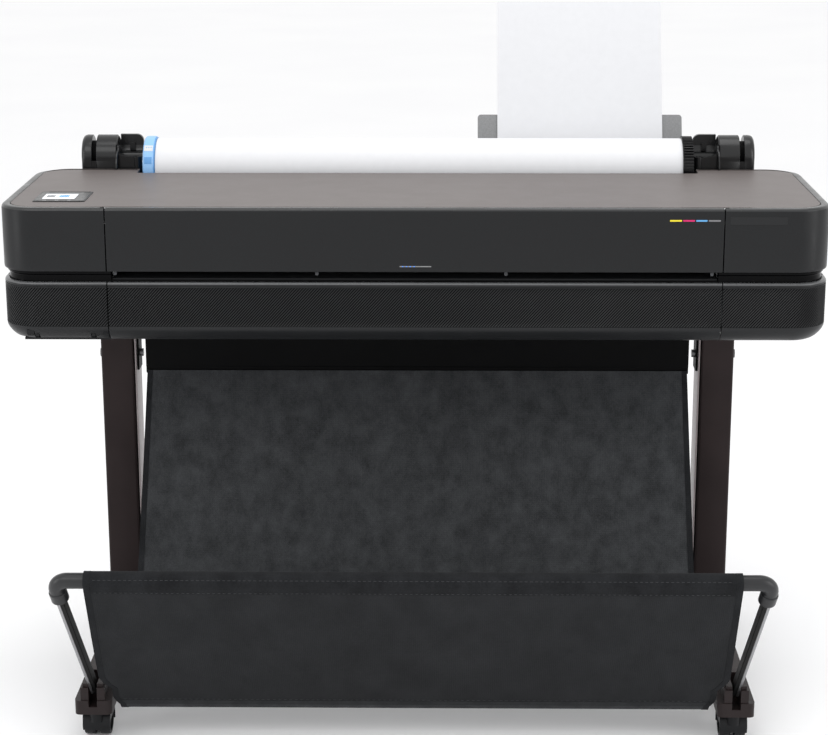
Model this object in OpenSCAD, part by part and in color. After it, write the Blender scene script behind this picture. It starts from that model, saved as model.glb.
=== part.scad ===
// Large format plotter: a roll-fed inkjet head on a two-leg wheeled stand with a sling basket below
// and a leaning sheet feeder behind the roll.
// Frame: X to the right, Y to the back, Z up, origin on the floor under the middle of the
// overall box. Inside the modules Y is counted from the front face of the head.

/* [Head] */
// Overall width of the head
head_w = 1317; // [1300:1:1340]
// Height of the top surface above the floor
head_top = 873; // [868:1:880]
// Height of the underside above the floor
head_bottom = 655; // [650:1:658]
// Distance of each vertical seam from the middle
seam_x = 486.5; // [484:0.5:488]
// Depth of the head, front face to rear cover
head_depth = 440; // [436:1:444]
// Corner radius of the head seen from above
plan_r = 58; // [50:1:64]
// Wall of the moulded covers
wall = 3; // [2.5:0.5:3.5]
// How far the dark neck between the upper and lower covers is set in
neck_inset = 8; // [6:1:10]
// Width of the bevel along the lower edge
bevel = 25; // [20:1:27]

/* [Roll] */
// Diameter of the wound media roll
roll_d = 100; // [80:1:100]
// Width of the media roll, 36 inches
roll_w = 914.4; // [900:0.1:914.4]
// Inside diameter of the cardboard core
core_d = 50.8; // [50:0.1:52]
// Diameter of the spindle rod
rod_d = 24; // [20:1:28]
// Outside radius of the roll holders
holder_r = 56; // [52:1:58]

/* [Sheet feeder] */
// Lean of the loaded sheet from the vertical
lean = 22.7; // [20:0.1:24]
// Width of the loaded sheet
sheet_w = 297; // [210:1:330]
// Length of the loaded sheet
sheet_l = 420; // [297:1:420]
// Middle of the loaded sheet to the right of the head's middle
sheet_x = 291; // [280:1:300]
// Width of the support plate behind the sheet
support_w = 368; // [360:1:372]

/* [Stand] */
// Width of each leg tube
leg_w = 61; // [50:1:64]
// Depth of each leg tube
leg_d = 66; // [55:1:75]
// Distance of each leg's middle from the middle
leg_x = 519.5; // [516:0.5:522]
// Length of each foot
foot_l = 605; // [600:1:640]
// Width of the foot base
foot_w = 60; // [56:1:64]
// Distance of each foot's middle from the middle
foot_x = 522; // [520:1:524]

/* [Casters] */
// Diameter of the caster wheels
wheel_d = 50; // [46:1:50]
// Width of a pair of wheels and their hood
caster_w = 45; // [42:1:48]
// Distance from the swivel axis back to the axle
trail = 22; // [18:1:24]

/* [Basket] */
// Diameter of the basket's front tube
tube_d = 25; // [22:1:28]
// Overall width of the basket frame
basket_w = 1124; // [1118:1:1130]
// Width of the front cloth
front_cloth_w = 1010; // [1000:1:1020]
// Width of the back cloth
back_cloth_w = 932; // [900:1:940]

/* [Hidden] */
$fn = 64;
gap = 0.4;
fit = 0.05;

// The box from the basket tube's front to the loaded sheet's top edge is centred on the origin
feed_y = 456;
feed_z = 755;
sheet_t = 1.2;
sheet_lift_off = 2.4;
tube_y = -198;
tube_z = 327;
sleeve_t = 2.5;
box_front = tube_y - tube_d / 2 - sleeve_t;
box_back = feed_y + sheet_l * sin(lean) + (sheet_lift_off + sheet_t) * cos(lean);
front_y = -(box_front + box_back) / 2;

// Levels and depths of the head
half_w = head_w / 2;
top_t = 5;
upper_bottom = 770.5;
lower_top = 752;
bevel_top = 682;
deck_z = 806;
centre_back = 336;
end_back = 379;
side_seam_y = 66;
hinge_y = 11.5;
hinge_r = 2.5;
hinge_z = head_top - hinge_r;
panel_front = hinge_y + hinge_r + gap;

// Ink door, ink bay and cartridges
door_hinge_y = 11;
door_hinge_z = 668;
door_hinge_r = 4;
cartridge_count = 4;
cartridge_w = 29;
cartridge_h = 68;
cartridge_d = 148;
cartridge_pitch = 34;
bay_x = -625;
bay_z = 674;
bay_front = 64;

// Paper drive
plate_x = 480;
outer_plate_x = 629;
tray_inset = bevel + wall + gap;
bearing_top = 764;
pinch_plate_top = 800;
feed_axis_y = 152;
feed_axis_z = 750;
feed_r = 16;
journal_r = 6;
feed_module = 1;
feed_teeth = 42;
feed_pinion_teeth = 18;
mesh_slack = 0.3;
feed_mesh = feed_module * (feed_teeth + feed_pinion_teeth) / 2 + mesh_slack;
pinch_r = 6;
pinch_z = feed_axis_z + feed_r + 0.3 + pinch_r;
pinch_count = 12;

// Carriage and its belt
rail_y = 105;
rail_z = 835;
rail_d = 18;
park_x = 555;
carriage_w = 110;
carriage_front = 40;
carriage_back = 127;
carriage_bottom = 768.5;
carriage_top = 862;
belt_y = 140;
belt_z = 840;
belt_r = 12;
belt_t = 1.6;
belt_w = 6;
pulley_x = 610;

// Roll and its drive
roll_y = 403;
roll_z = head_top;
roll_x = 2.5;
roll_left = roll_x - roll_w / 2;
roll_right = roll_x + roll_w / 2;
hub_w = 22;
gear_w = 17;
gear_module = 1.75;
hub_teeth = 60;
roll_pinion_teeth = 16;
hub_mesh = gear_module * (hub_teeth + roll_pinion_teeth) / 2 + mesh_slack;
roll_pinion_y = roll_y - hub_mesh * cos(45);
roll_pinion_z = roll_z - hub_mesh * sin(45);
holder_front = end_back + 3;
holder_in = 484;
holder_out = 587;

// Stand
leg_y = 287;
foot_y = -90;
foot_z = 54;
base_h = 24;
cheek_top = 106;
cheek_w = 39;
slot_w = 14;
slot_back = -26;
brace_bottom = 530;
brace_top = 650;
brace_y = 281;
brace_d = 24;
bolt_r = 4;

// Casters: the swivel axis of the front and rear pair
caster_ys = [-60, 465];
hood_r = 27.5;
stem_r = 5;

// Basket
pivot_y = -66;
pivot_z = 90;
arm_w = 12;
arm_top_x = 549.5;
cloth_t = 3;
lean_out = atan((pivot_y - tube_y) / (tube_z - pivot_z));
arm_l = norm([pivot_y - tube_y, tube_z - pivot_z]);
fold_y = -48;
fold_z = 80;
hang_y = 280;
hang_z = 529;

// Rear sockets
supply_x = -330;
inlet_x = -300;
switch_x = -250;
socket_z = 700;

// ---------- shared shapes ----------

// Moves what is drawn from the head's front face into the part's frame
module from_front() {
    translate([0, front_y, 0]) children();
}

// Draws the children and their mirror image
module both_sides() {
    children();
    mirror([1, 0, 0]) children();
}

// A box given by its limits
module block(x, y, z) {
    translate([x[0], y[0], z[0]]) cube([x[1] - x[0], y[1] - y[0], z[1] - z[0]]);
}

// A round bar along X
module bar_x(x, y, z, r) {
    translate([x[0], y, z]) rotate([0, 90, 0]) cylinder(h = x[1] - x[0], r = r);
}

// A round bar along Y
module bar_y(x, y, z, r) {
    translate([x, y[0], z]) rotate([-90, 0, 0]) cylinder(h = y[1] - y[0], r = r);
}

// Extrudes a profile drawn in (Y, Z) along X
module along_x(x) {
    translate([x[0], 0, 0]) rotate([90, 0, 90]) linear_extrude(x[1] - x[0]) children();
}

// A rectangle with round corners of one radius
module round_rect(x, y, r) {
    translate([x[0] + r, y[0]]) square([x[1] - x[0] - 2 * r, y[1] - y[0]]);
    translate([x[0], y[0] + r]) square([x[1] - x[0], y[1] - y[0] - 2 * r]);
    for (cx = [x[0] + r, x[1] - r], cy = [y[0] + r, y[1] - r]) translate([cx, cy]) circle(r);
}

// The head's outline from above, set in by some distance
module head_plan(inset, back) {
    round_rect([-half_w + inset, half_w - inset], [inset, back - inset], plan_r - inset);
}

// Trapezoid-toothed gear outline; a tooth points along the first axis when turn is 0
function gear_points(n, m, turn) = [
    for (i = [0:n - 1], k = [[-0.29, -1.25], [-0.115, 0.85], [0.115, 0.85], [0.29, -1.25]])
        let (a = turn + (i + k[0]) * 360 / n, r = m * (n / 2 + k[1])) [r * cos(a), r * sin(a)]];

// ---------- stand ----------

module leg() {
    color([0.17, 0.15, 0.15]) difference() {
        translate([leg_x, leg_y + leg_d / 2, cheek_top]) linear_extrude(head_bottom - cheek_top)
            round_rect([-leg_w / 2, leg_w / 2], [-leg_d / 2, leg_d / 2], 5);
        translate([leg_x, leg_y + leg_d / 2, cheek_top - 1])
            linear_extrude(head_bottom - cheek_top + 2)
            round_rect([-leg_w / 2 + 2.5, leg_w / 2 - 2.5], [-leg_d / 2 + 2.5, leg_d / 2 - 2.5], 3);
        for (z = brace_bolts) bar_x([leg_x - leg_w, leg_x + leg_w], brace_bolt_y, z, bolt_r + 0.1);
    }
}

brace_bolts = [brace_bottom + 30, brace_top - 30];
brace_bolt_y = 312;

module leg_left() {
    from_front() mirror([1, 0, 0]) leg();
}

module leg_right() {
    from_front() leg();
}

// Foot: a flat base, a raised spine with a slot at the front for the basket arm, a leg seat
module foot() {
    color([0.20, 0.18, 0.18]) difference() {
        union() {
            translate([foot_x, foot_y, foot_z]) linear_extrude(base_h)
                round_rect([-foot_w / 2, foot_w / 2], [0, foot_l], 9);
            block([foot_x - cheek_w / 2, foot_x + cheek_w / 2],
                [foot_y + 2, foot_y + foot_l - 12], [foot_z, cheek_top - 6]);
            block([foot_x - cheek_w / 2 + 3, foot_x + cheek_w / 2 - 3],
                [foot_y + 6, foot_y + foot_l - 18], [foot_z, cheek_top]);
            block([leg_x - leg_w / 2 - 2, leg_x + leg_w / 2 + 2],
                [leg_y - 6, leg_y + leg_d + 6], [foot_z + base_h - 1, cheek_top]);
        }
        block([foot_x - slot_w / 2, foot_x + slot_w / 2], [foot_y - 1, slot_back],
            [foot_z + 13, cheek_top + 1]);
        bar_x([foot_x - foot_w, foot_x + foot_w], pivot_y, pivot_z, 4 + fit);
        for (y = caster_ys) translate([foot_x, y, foot_z - 1]) cylinder(h = 13, r = stem_r + fit);
    }
}

module foot_left() {
    from_front() mirror([1, 0, 0]) foot();
}

module foot_right() {
    from_front() foot();
}

module cross_brace() {
    reach = leg_x - leg_w / 2;
    color([0.06, 0.06, 0.06]) from_front() {
        difference() {
            block([-reach, reach], [brace_y, brace_y + brace_d], [brace_bottom, brace_top]);
            block([-reach + 4, reach - 4], [brace_y + 2, brace_y + brace_d + 1],
                [brace_bottom + 2, brace_top - 2]);
        }
        both_sides() difference() {
            block([reach - 4, reach], [brace_y + brace_d, brace_bolt_y + 16],
                [brace_bottom, brace_top]);
            for (z = brace_bolts)
                bar_x([reach - 6, reach + 2], brace_bolt_y, z, bolt_r + 0.1);
        }
    }
}

// Button-head bolts that tie the legs to the brace
module stand_bolts() {
    color([0.35, 0.35, 0.36]) from_front() both_sides() for (z = brace_bolts) difference() {
        union() {
            bar_x([leg_x - leg_w / 2 - 10, leg_x + leg_w / 2], brace_bolt_y, z, bolt_r);
            bar_x([leg_x + leg_w / 2, leg_x + leg_w / 2 + 4], brace_bolt_y, z, bolt_r * 1.9);
            bar_x([leg_x - leg_w / 2 - 10, leg_x - leg_w / 2 - 4], brace_bolt_y, z, bolt_r * 1.7);
        }
        translate([leg_x + leg_w / 2 + 1.5, brace_bolt_y, z]) rotate([0, 90, 0])
            cylinder(h = 4, r = 2.4, $fn = 6);
    }
}

// ---------- casters ----------

// Twin-wheel hood with the stem that turns in the foot
module caster_hood(side, y) {
    axle_y = y + trail;
    color([0.09, 0.09, 0.09]) from_front() translate([side * foot_x, 0, 0]) difference() {
        union() {
            intersection() {
                difference() {
                    bar_x([-caster_w / 2, caster_w / 2], axle_y, wheel_d / 2, hood_r);
                    both_sides() bar_x([3.5, caster_w], axle_y, wheel_d / 2, wheel_d / 2 + 0.8);
                }
                block([-caster_w, caster_w], [axle_y - 40, axle_y + 40], [15, 60]);
            }
            intersection() {
                bar_x([-caster_w / 2, caster_w / 2], axle_y, wheel_d / 2, hood_r);
                both_sides() block([caster_w / 2 - 1.6, caster_w / 2],
                    [axle_y - 40, axle_y + 40], [wheel_d / 2 + 6, 60]);
            }
            translate([0, y, 30]) cylinder(h = foot_z - 30 - gap, r = 11);
            translate([0, y, 40]) cylinder(h = foot_z + 10 - 40, r = stem_r);
        }
        both_sides() bar_x([3.5, caster_w / 2 - 1.6], axle_y, wheel_d / 2, wheel_d / 2 + 0.8);
        bar_x([-caster_w, caster_w], axle_y, wheel_d / 2, 3 + fit);
    }
}

// The two wheels of a caster on their axle
module caster_wheels(side, y) {
    axle_y = y + trail;
    color([0.13, 0.13, 0.13]) from_front() translate([side * foot_x, 0, 0]) {
        both_sides() difference() {
            bar_x([3.5 + gap, caster_w / 2 - 1.6 - gap], axle_y, wheel_d / 2, wheel_d / 2);
            bar_x([caster_w / 2 - 5, caster_w / 2], axle_y, wheel_d / 2, wheel_d / 2 - 5);
        }
        bar_x([-caster_w / 2 + 2, caster_w / 2 - 2], axle_y, wheel_d / 2, 3);
    }
}

module caster_hood_front_left() { caster_hood(-1, caster_ys[0]); }
module caster_hood_front_right() { caster_hood(1, caster_ys[0]); }
module caster_hood_rear_left() { caster_hood(-1, caster_ys[1]); }
module caster_hood_rear_right() { caster_hood(1, caster_ys[1]); }
module caster_wheels_front_left() { caster_wheels(-1, caster_ys[0]); }
module caster_wheels_front_right() { caster_wheels(1, caster_ys[0]); }
module caster_wheels_rear_left() { caster_wheels(-1, caster_ys[1]); }
module caster_wheels_rear_right() { caster_wheels(1, caster_ys[1]); }

// ---------- basket ----------

// Front tube with round elbows that turn down over the tops of the arms
module basket_tube() {
    r = tube_d / 2;
    elbow_t = 0.8;
    elbow_r = 18;
    lap = 1;
    bend_x = basket_w / 2 - r - elbow_r;
    color([0.10, 0.10, 0.10]) from_front() {
        bar_x([-bend_x - lap, bend_x + lap], tube_y, tube_z, r);
        both_sides() translate([bend_x, tube_y, tube_z]) rotate([lean_out, 0, 0])
            translate([0, 0, -elbow_r]) {
                rotate([90, 0, 0]) rotate_extrude(angle = 90) translate([elbow_r, 0])
                    circle(r + elbow_t);
                translate([elbow_r, 0, -14]) cylinder(h = 14 + lap, r = r);
            }
    }
}

// The two arms, from the elbows down to the slots in the feet, each with its pivot pin
module basket_arms() {
    seat = 32;
    foot_part = 34;
    slant = atan((arm_top_x - foot_x) / (arm_l - seat - foot_part));
    slant_l = norm([arm_top_x - foot_x, arm_l - seat - foot_part]);
    color([0.72, 0.72, 0.74]) from_front() both_sides() {
        translate([foot_x, pivot_y, pivot_z]) rotate([lean_out, 0, 0]) {
            translate([-arm_w / 2, -9, 0]) cube([arm_w, 18, foot_part]);
            difference() {
                translate([0, 0, foot_part]) rotate([0, slant, 0])
                    translate([-arm_w / 2, -9, 0]) cube([arm_w, 18, slant_l + 2]);
                translate([-arm_w, -10, arm_l - seat]) cube([60, 20, 10]);
            }
            rotate([0, 90, 0]) translate([0, 0, -arm_w / 2]) cylinder(h = arm_w, r = 9);
        }
        bar_x([foot_x - cheek_w / 2, foot_x + cheek_w / 2], pivot_y, pivot_z, 4);
    }
}

// Front panel of the sling: a sleeve on the tube and a cloth down to the fold
module basket_front_cloth() {
    half_top = front_cloth_w / 2;
    half_foot = 489;
    r = tube_d / 2;
    color([0.13, 0.13, 0.13]) from_front() {
        difference() {
            bar_x([-half_top - 1, half_top + 1], tube_y, tube_z, r + sleeve_t);
            bar_x([-half_top - 2, half_top + 2], tube_y, tube_z, r + gap);
        }
        translate([0, pivot_y, pivot_z]) rotate([90 + lean_out, 0, 0])
            translate([0, 0, -cloth_t / 2]) linear_extrude(cloth_t) polygon([
                [-half_foot, -6], [half_foot, -6], [half_foot, 26], [half_top, 70],
                [half_top, arm_l - r - 1], [-half_top, arm_l - r - 1], [-half_top, 70],
                [-half_foot, 26]]);
    }
}

// Back panel of the sling, from the brace down to the fold between the feet
module basket_back_cloth() {
    rise = atan2(hang_z - fold_z, hang_y - fold_y);
    length = norm([hang_y - fold_y, hang_z - fold_z]);
    color([0.13, 0.13, 0.13]) from_front() translate([0, fold_y, fold_z])
        rotate([rise, 0, 0]) translate([-back_cloth_w / 2, 0, -cloth_t])
            cube([back_cloth_w, length, cloth_t]);
}

// ---------- head: frame and covers ----------

// Folded steel tray with the bearing plates, the two outer plates and a cross wall
module chassis() {
    tray_z = [head_bottom, head_bottom + wall];
    door_room = side_seam_y + 6;
    color([0.62, 0.63, 0.64]) from_front() difference() {
        union() {
            translate([0, 0, tray_z[0]]) linear_extrude(wall) head_plan(tray_inset, head_depth);
            both_sides() {
                block([plate_x, plate_x + 2], [34, 330], [tray_z[1] - 1, bearing_top]);
                block([plate_x, plate_x + 2], [134, 330], [bearing_top - 1, pinch_plate_top]);
                block([outer_plate_x - 2, outer_plate_x], [84, 330], [tray_z[1] - 1, 864]);
            }
            block([-outer_plate_x + 1, outer_plate_x - 1], [326, 329], [690, pinch_plate_top]);
        }
        both_sides() block([plate_x + 2, half_w], [0, door_room], [tray_z[0] - 1, tray_z[1] + 1]);
        bar_x([-plate_x - 5, plate_x + 5], feed_axis_y, feed_axis_z, journal_r + fit);
        bar_x([-plate_x - 5, plate_x + 5], feed_axis_y, pinch_z, 3 + fit);
        bar_x([-outer_plate_x - 1, outer_plate_x + 1], rail_y, rail_z, rail_d / 2);
        both_sides() block([leg_x - leg_w / 2 + 10, leg_x + leg_w / 2 - 10],
            [leg_y + 10, leg_y + leg_d - 10], [tray_z[0] - 1, tray_z[1] + 1]);
    }
}

// Solid of the lower body with its bevelled underside, set in by some distance and carried
// past its top and bottom by some distance
module lower_solid(inset, over) {
    translate([0, 0, bevel_top]) linear_extrude(lower_top - bevel_top + over)
        head_plan(inset, head_depth);
    hull() {
        translate([0, 0, bevel_top]) linear_extrude(0.01) head_plan(inset, head_depth, $fn = 48);
        translate([0, 0, head_bottom - over]) linear_extrude(0.01)
            head_plan(inset + bevel, head_depth, $fn = 48);
    }
}

// Moulded shell of the lower body, open above and below
module lower_shell() {
    difference() {
        lower_solid(0, 0);
        lower_solid(wall, 0.5);
    }
}

module lower_front_cover() {
    color([0.10, 0.10, 0.10]) from_front() intersection() {
        lower_shell();
        block([-seam_x + gap / 2, seam_x - gap / 2], [-1, 60], [head_bottom - 1, lower_top + 1]);
    }
}

// Front corner of the lower body to one side of the seam
module lower_corner() {
    intersection() {
        lower_shell();
        block([seam_x + gap / 2, half_w + 1], [-1, side_seam_y], [head_bottom - 1, lower_top + 1]);
    }
}

module lower_right_cover() {
    color([0.10, 0.10, 0.10]) from_front() lower_corner();
}

// Drop-down door over the ink cartridges, on two pins near its lower edge
module ink_door() {
    color([0.10, 0.10, 0.10]) from_front() mirror([1, 0, 0]) {
        difference() {
            lower_corner();
            for (x = door_lugs) block([x[0] - 1.6, x[1] + 1.6], [wall, 32],
                [head_bottom - 1, 676]);
            block([seam_x, half_w], [side_seam_y - 3, side_seam_y + 1],
                [head_bottom - 1, door_hinge_z + 1]);
            block([seam_x - 1, door_sill_x], [door_sill, side_seam_y + 1],
                [head_bottom - 1, door_hinge_z + 1]);
        }
        for (x = door_pins) {
            block([x[0], x[1]], [1.5, door_hinge_y], [door_hinge_z, door_hinge_z + 8]);
            bar_x(x, door_hinge_y, door_hinge_z, door_hinge_r);
        }
        bar_x([door_pins[0][0], door_pins[1][1]], door_hinge_y, door_hinge_z, 1.5);
    }
}

// Barrels of the ink door's hinge, and the lugs of the ink bay that stand between them
door_pins = [[496, 508], [606, 618]];
door_lugs = [[509, 515], [599, 605]];

// The door has no floor behind this depth, so that it clears the cartridges when it is down
door_sill = 14;
door_sill_x = 640;

// Dark skirt that joins the upper and the lower covers, open in front for the paper
module neck_frame() {
    color([0.03, 0.03, 0.03]) from_front() difference() {
        translate([0, 0, lower_top]) linear_extrude(upper_bottom - lower_top)
            head_plan(neck_inset, head_depth);
        translate([0, 0, lower_top - 1]) linear_extrude(upper_bottom - lower_top + 2)
            head_plan(neck_inset + wall, head_depth);
        block([-plate_x, plate_x], [-1, 60], [lower_top + 4, upper_bottom + 1]);
        block([-half_w, half_w], [end_back, head_depth + 1], [lower_top - 1, upper_bottom + 1]);
    }
}

// Shell of the upper body: walls and the rim round the top
module upper_shell() {
    difference() {
        translate([0, 0, upper_bottom]) linear_extrude(head_top - upper_bottom)
            head_plan(0, end_back + 3);
        translate([0, 0, upper_bottom - 1]) linear_extrude(head_top - top_t - upper_bottom + 1)
            head_plan(wall, end_back + 3);
        translate([0, 0, head_top - top_t - 1]) linear_extrude(top_t + 2)
            head_plan(panel_front - gap, end_back + 3 + panel_front);
    }
}

// Upper end cover, with the bore that takes the window's pin
module end_cover() {
    difference() {
        union() {
            intersection() {
                upper_shell();
                block([seam_x + gap / 2, half_w + 1], [-1, end_back + 4],
                    [upper_bottom - 1, head_top + 1]);
            }
            block([seam_x + gap / 2, seam_x + 8], [2, hinge_y + hinge_r],
                [hinge_z - 10, head_top]);
            block([seam_x + gap / 2, seam_x + wall], [centre_back, end_back + 3],
                [deck_z, head_top - top_t]);
        }
        bar_x([seam_x - 1, seam_x + 7], hinge_y, hinge_z, 1.5 + fit);
        bar_x([seam_x - 1, seam_x + wall + 1], roll_pinion_y, roll_pinion_z, 16.5);
    }
}

module left_end_cover() {
    color([0.08, 0.08, 0.08]) from_front() mirror([1, 0, 0]) end_cover();
}

module right_end_cover() {
    color([0.08, 0.08, 0.08]) from_front() end_cover();
}

// Front window: opens upwards on two pins at its top edge
module front_window() {
    reach = seam_x - gap / 2;
    color([0.08, 0.08, 0.08]) from_front() {
        block([-reach, reach], [0, wall], [upper_bottom, head_top - hinge_r]);
        block([-reach, reach], [0.5, hinge_y], [hinge_z - hinge_r, hinge_z + hinge_r]);
        bar_x([-reach, reach], hinge_y, hinge_z, hinge_r);
        bar_x([-seam_x - 6, seam_x + 6], hinge_y, hinge_z, 1.5);
        block([-reach, reach], [wall, 7], [upper_bottom, upper_bottom + 2.5]);
        for (x = [-440:110:440]) block([x - 1, x + 1], [wall, 6], [upper_bottom, hinge_z - 8]);
    }
}

// Top panel with its cut-back middle behind which the roll lies
module top_panel() {
    z = head_top - top_t;
    color([0.42, 0.39, 0.38]) from_front() difference() {
        intersection() {
            translate([0, 0, z]) linear_extrude(top_t)
                head_plan(panel_front, end_back + panel_front);
            block([-half_w, half_w], [0, end_back], [z, head_top]);
        }
        block([-seam_x + 3.5, seam_x - 3.5], [centre_back, end_back + 1], [z - 1, head_top + 1]);
        block([display_x[0], display_x[1]], display_y, [head_top - 2, head_top + 1]);
    }
}

display_x = [-610, -526];
display_y = [55, 144];

// Tilted-glass touch display let into the top panel
module display_panel() {
    color([0.05, 0.05, 0.06]) from_front()
        translate([0, 0, head_top - 2]) linear_extrude(3.5) round_rect(display_x, display_y, 5);
}

// Rear cover: back wall, both side walls, the deck under the roll and the trough's front wall
module rear_cover() {
    color([0.07, 0.07, 0.07]) from_front() difference() {
        union() {
            intersection() {
                lower_shell();
                block([-half_w, half_w], [side_seam_y + gap, head_depth],
                    [head_bottom - 1, lower_top]);
            }
            intersection() {
                difference() {
                    translate([0, 0, lower_top]) linear_extrude(deck_z - lower_top)
                        head_plan(0, head_depth);
                    translate([0, 0, lower_top - 1]) linear_extrude(deck_z - lower_top + 2)
                        head_plan(wall, head_depth);
                }
                block([-half_w, half_w], [end_back + 3 + gap, head_depth + 1],
                    [lower_top, deck_z]);
            }
        }
        block([inlet_x - 16, inlet_x + 16], [head_depth - 5, head_depth + 1],
            [socket_z - 12, socket_z + 12]);
        block([switch_x - 11, switch_x + 11], [head_depth - 5, head_depth + 1],
            [socket_z - 8, socket_z + 8]);
        for (x = port_xs) block([x - 8, x + 8], [head_depth - 5, head_depth + 1],
            [socket_z - 7, socket_z + 7]);
        for (z = [690:12:738], s = [-1, 1], i = [0:11])
            block([s * 540 - 50 + i * 8, s * 540 - 46 + i * 8], [head_depth - 5, head_depth + 1],
                [z, z + 8]);
    }
}

// Deck behind the end covers, and the trough between them that the roll turns in
module rear_deck() {
    color([0.07, 0.07, 0.07]) from_front() {
        intersection() {
            translate([0, 0, deck_z - wall]) linear_extrude(wall)
                head_plan(wall + fit, head_depth);
            block([-half_w, half_w], [end_back + 3 + gap, head_depth], [700, deck_z]);
        }
        block([-seam_x + 1, seam_x - 1], [centre_back, end_back + 4],
            [deck_z - wall, deck_z]);
        block([-seam_x + 1, seam_x - 1], [centre_back, centre_back + wall],
            [deck_z - wall, head_top - top_t - gap]);
    }
}

port_xs = [-180, -140];

// ---------- head: paper path ----------

module platen() {
    color([0.12, 0.12, 0.12]) from_front() {
        along_x([-plate_x + 1, plate_x - 1]) polygon([[12, 754.5], [28, 759], [132, 759],
            [132, 763], [28, 763], [12, 758.5]]);
        for (x = [-450:60:450]) block([x - 2, x + 2], [60, 128], [762, 766.5]);
        both_sides() block([440, 446], [30, 130], [head_bottom + 3, 759]);
    }
}

module feed_roller() {
    gear_x = plate_x + 4;
    color([0.30, 0.30, 0.31]) from_front() {
        bar_x([-plate_x + 2, plate_x - 2], feed_axis_y, feed_axis_z, feed_r);
        bar_x([-plate_x - 4, gear_x + 8], feed_axis_y, feed_axis_z, journal_r);
        translate([0, feed_axis_y, feed_axis_z]) along_x([gear_x, gear_x + 7])
            polygon(gear_points(feed_teeth, feed_module, 0));
    }
}

// Pinion on the feed motor's shaft
module feed_pinion() {
    x = plate_x + 4;
    color([0.75, 0.62, 0.28]) from_front() difference() {
        union() {
            translate([0, feed_axis_y + feed_mesh, feed_axis_z]) along_x([x, x + 7])
                polygon(gear_points(feed_pinion_teeth, feed_module, 10));
            bar_x([x + 6, x + 12], feed_axis_y + feed_mesh, feed_axis_z, 6);
        }
        bar_x([x - 1, x + 13], feed_axis_y + feed_mesh, feed_axis_z, 2.5 + fit);
    }
}

// A can motor along X with its shaft towards -X
module motor_x(x, y, z, r, shaft_r, shaft_l) {
    bar_x([x, x + 42], y, z, r);
    bar_x([x - 3, x], y, z, shaft_r * 2.2);
    bar_x([x - shaft_l, x], y, z, shaft_r);
}

// The feed, carriage and roll motors
module drive_motors() {
    color([0.50, 0.50, 0.52]) from_front() {
        motor_x(plate_x + 20, feed_axis_y + feed_mesh, feed_axis_z, 18, 2.5, 15);
        translate([-pulley_x, belt_y, belt_z]) rotate([0, 0, 90])
            motor_x(14, 0, 0, 16, 2.5, 20);
        block([-outer_plate_x + 2, -pulley_x + 18], [belt_y + 11, belt_y + 14],
            [belt_z - 16, belt_z + 16]);
        motor_x(roll_right + 6 + gear_w + 2, roll_pinion_y, roll_pinion_z, 15.5, 2.5, 19);
    }
}

// Twelve pressure rollers on one shaft above the feed roller
module pinch_rollers() {
    pitch = 78;
    first = -pitch * (pinch_count - 1) / 2;
    color([0.22, 0.22, 0.22]) from_front() {
        bar_x([-plate_x - 2, plate_x + 2], feed_axis_y, pinch_z, 3);
        for (i = [0:pinch_count - 1])
            bar_x([first + i * pitch - 14, first + i * pitch + 14], feed_axis_y, pinch_z, pinch_r);
    }
}

// ---------- head: printing ----------

module carriage_rail() {
    color([0.80, 0.80, 0.82]) from_front()
        bar_x([-outer_plate_x, outer_plate_x], rail_y, rail_z, rail_d / 2);
}

// Carriage parked at the right; it runs on the rail and grips the belt's lower run
module carriage() {
    x0 = park_x - carriage_w / 2;
    x1 = park_x + carriage_w / 2;
    run_z = belt_z - belt_r - belt_t;
    color([0.16, 0.17, 0.20]) from_front() difference() {
        union() {
            block([x0, x1], [carriage_front, carriage_back], [carriage_bottom + 6, carriage_top]);
            block([x0 + 12, x1 - 12], [carriage_front + 12, carriage_back - 12],
                [carriage_bottom, carriage_bottom + 7]);
            block([park_x - 15, park_x + 15], [carriage_back - 1, belt_y + 5],
                [run_z - 5, run_z + belt_t + 4]);
        }
        bar_x([x0 - 1, x1 + 1], rail_y, rail_z, rail_d / 2 + fit);
        block([park_x - 20, park_x + 20], [belt_y - belt_w / 2 - gap, belt_y + 6],
            [run_z - gap, run_z + belt_t + gap]);
        block([x0 + 14, x1 - 14], [carriage_front - 1, carriage_front + 30],
            [carriage_bottom + 30, carriage_top - 14]);
    }
}

// Outline of the belt round both pulleys, grown by some distance
module belt_outline(grow) {
    r = belt_r + grow;
    translate([-pulley_x, -r]) square([2 * pulley_x, 2 * r]);
    for (x = [-pulley_x, pulley_x]) translate([x, 0]) circle(r);
}

module drive_belt() {
    color([0.05, 0.05, 0.05]) from_front() translate([0, belt_y + belt_w / 2, belt_z])
        rotate([90, 0, 0]) linear_extrude(belt_w) difference() {
            belt_outline(belt_t);
            belt_outline(0);
        }
}

module pulley(x, bore) {
    color([0.72, 0.72, 0.70]) from_front() difference() {
        union() {
            bar_y(x, [belt_y - 4, belt_y + 4], belt_z, belt_r - 0.3);
            bar_y(x, [belt_y - 5.5, belt_y - 4], belt_z, belt_r - 0.3);
        }
        bar_y(x, [belt_y - 6, belt_y + 5], belt_z, bore + fit);
        for (a = [0:60:300]) translate([x, 0, belt_z]) rotate([0, a, 0])
            bar_y(7, [belt_y - 6, belt_y + 5], 0, 1.6);
    }
}

module drive_pulley() {
    pulley(-pulley_x, 2.5);
}

module idler_pulley() {
    pulley(pulley_x, 3);
}

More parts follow.
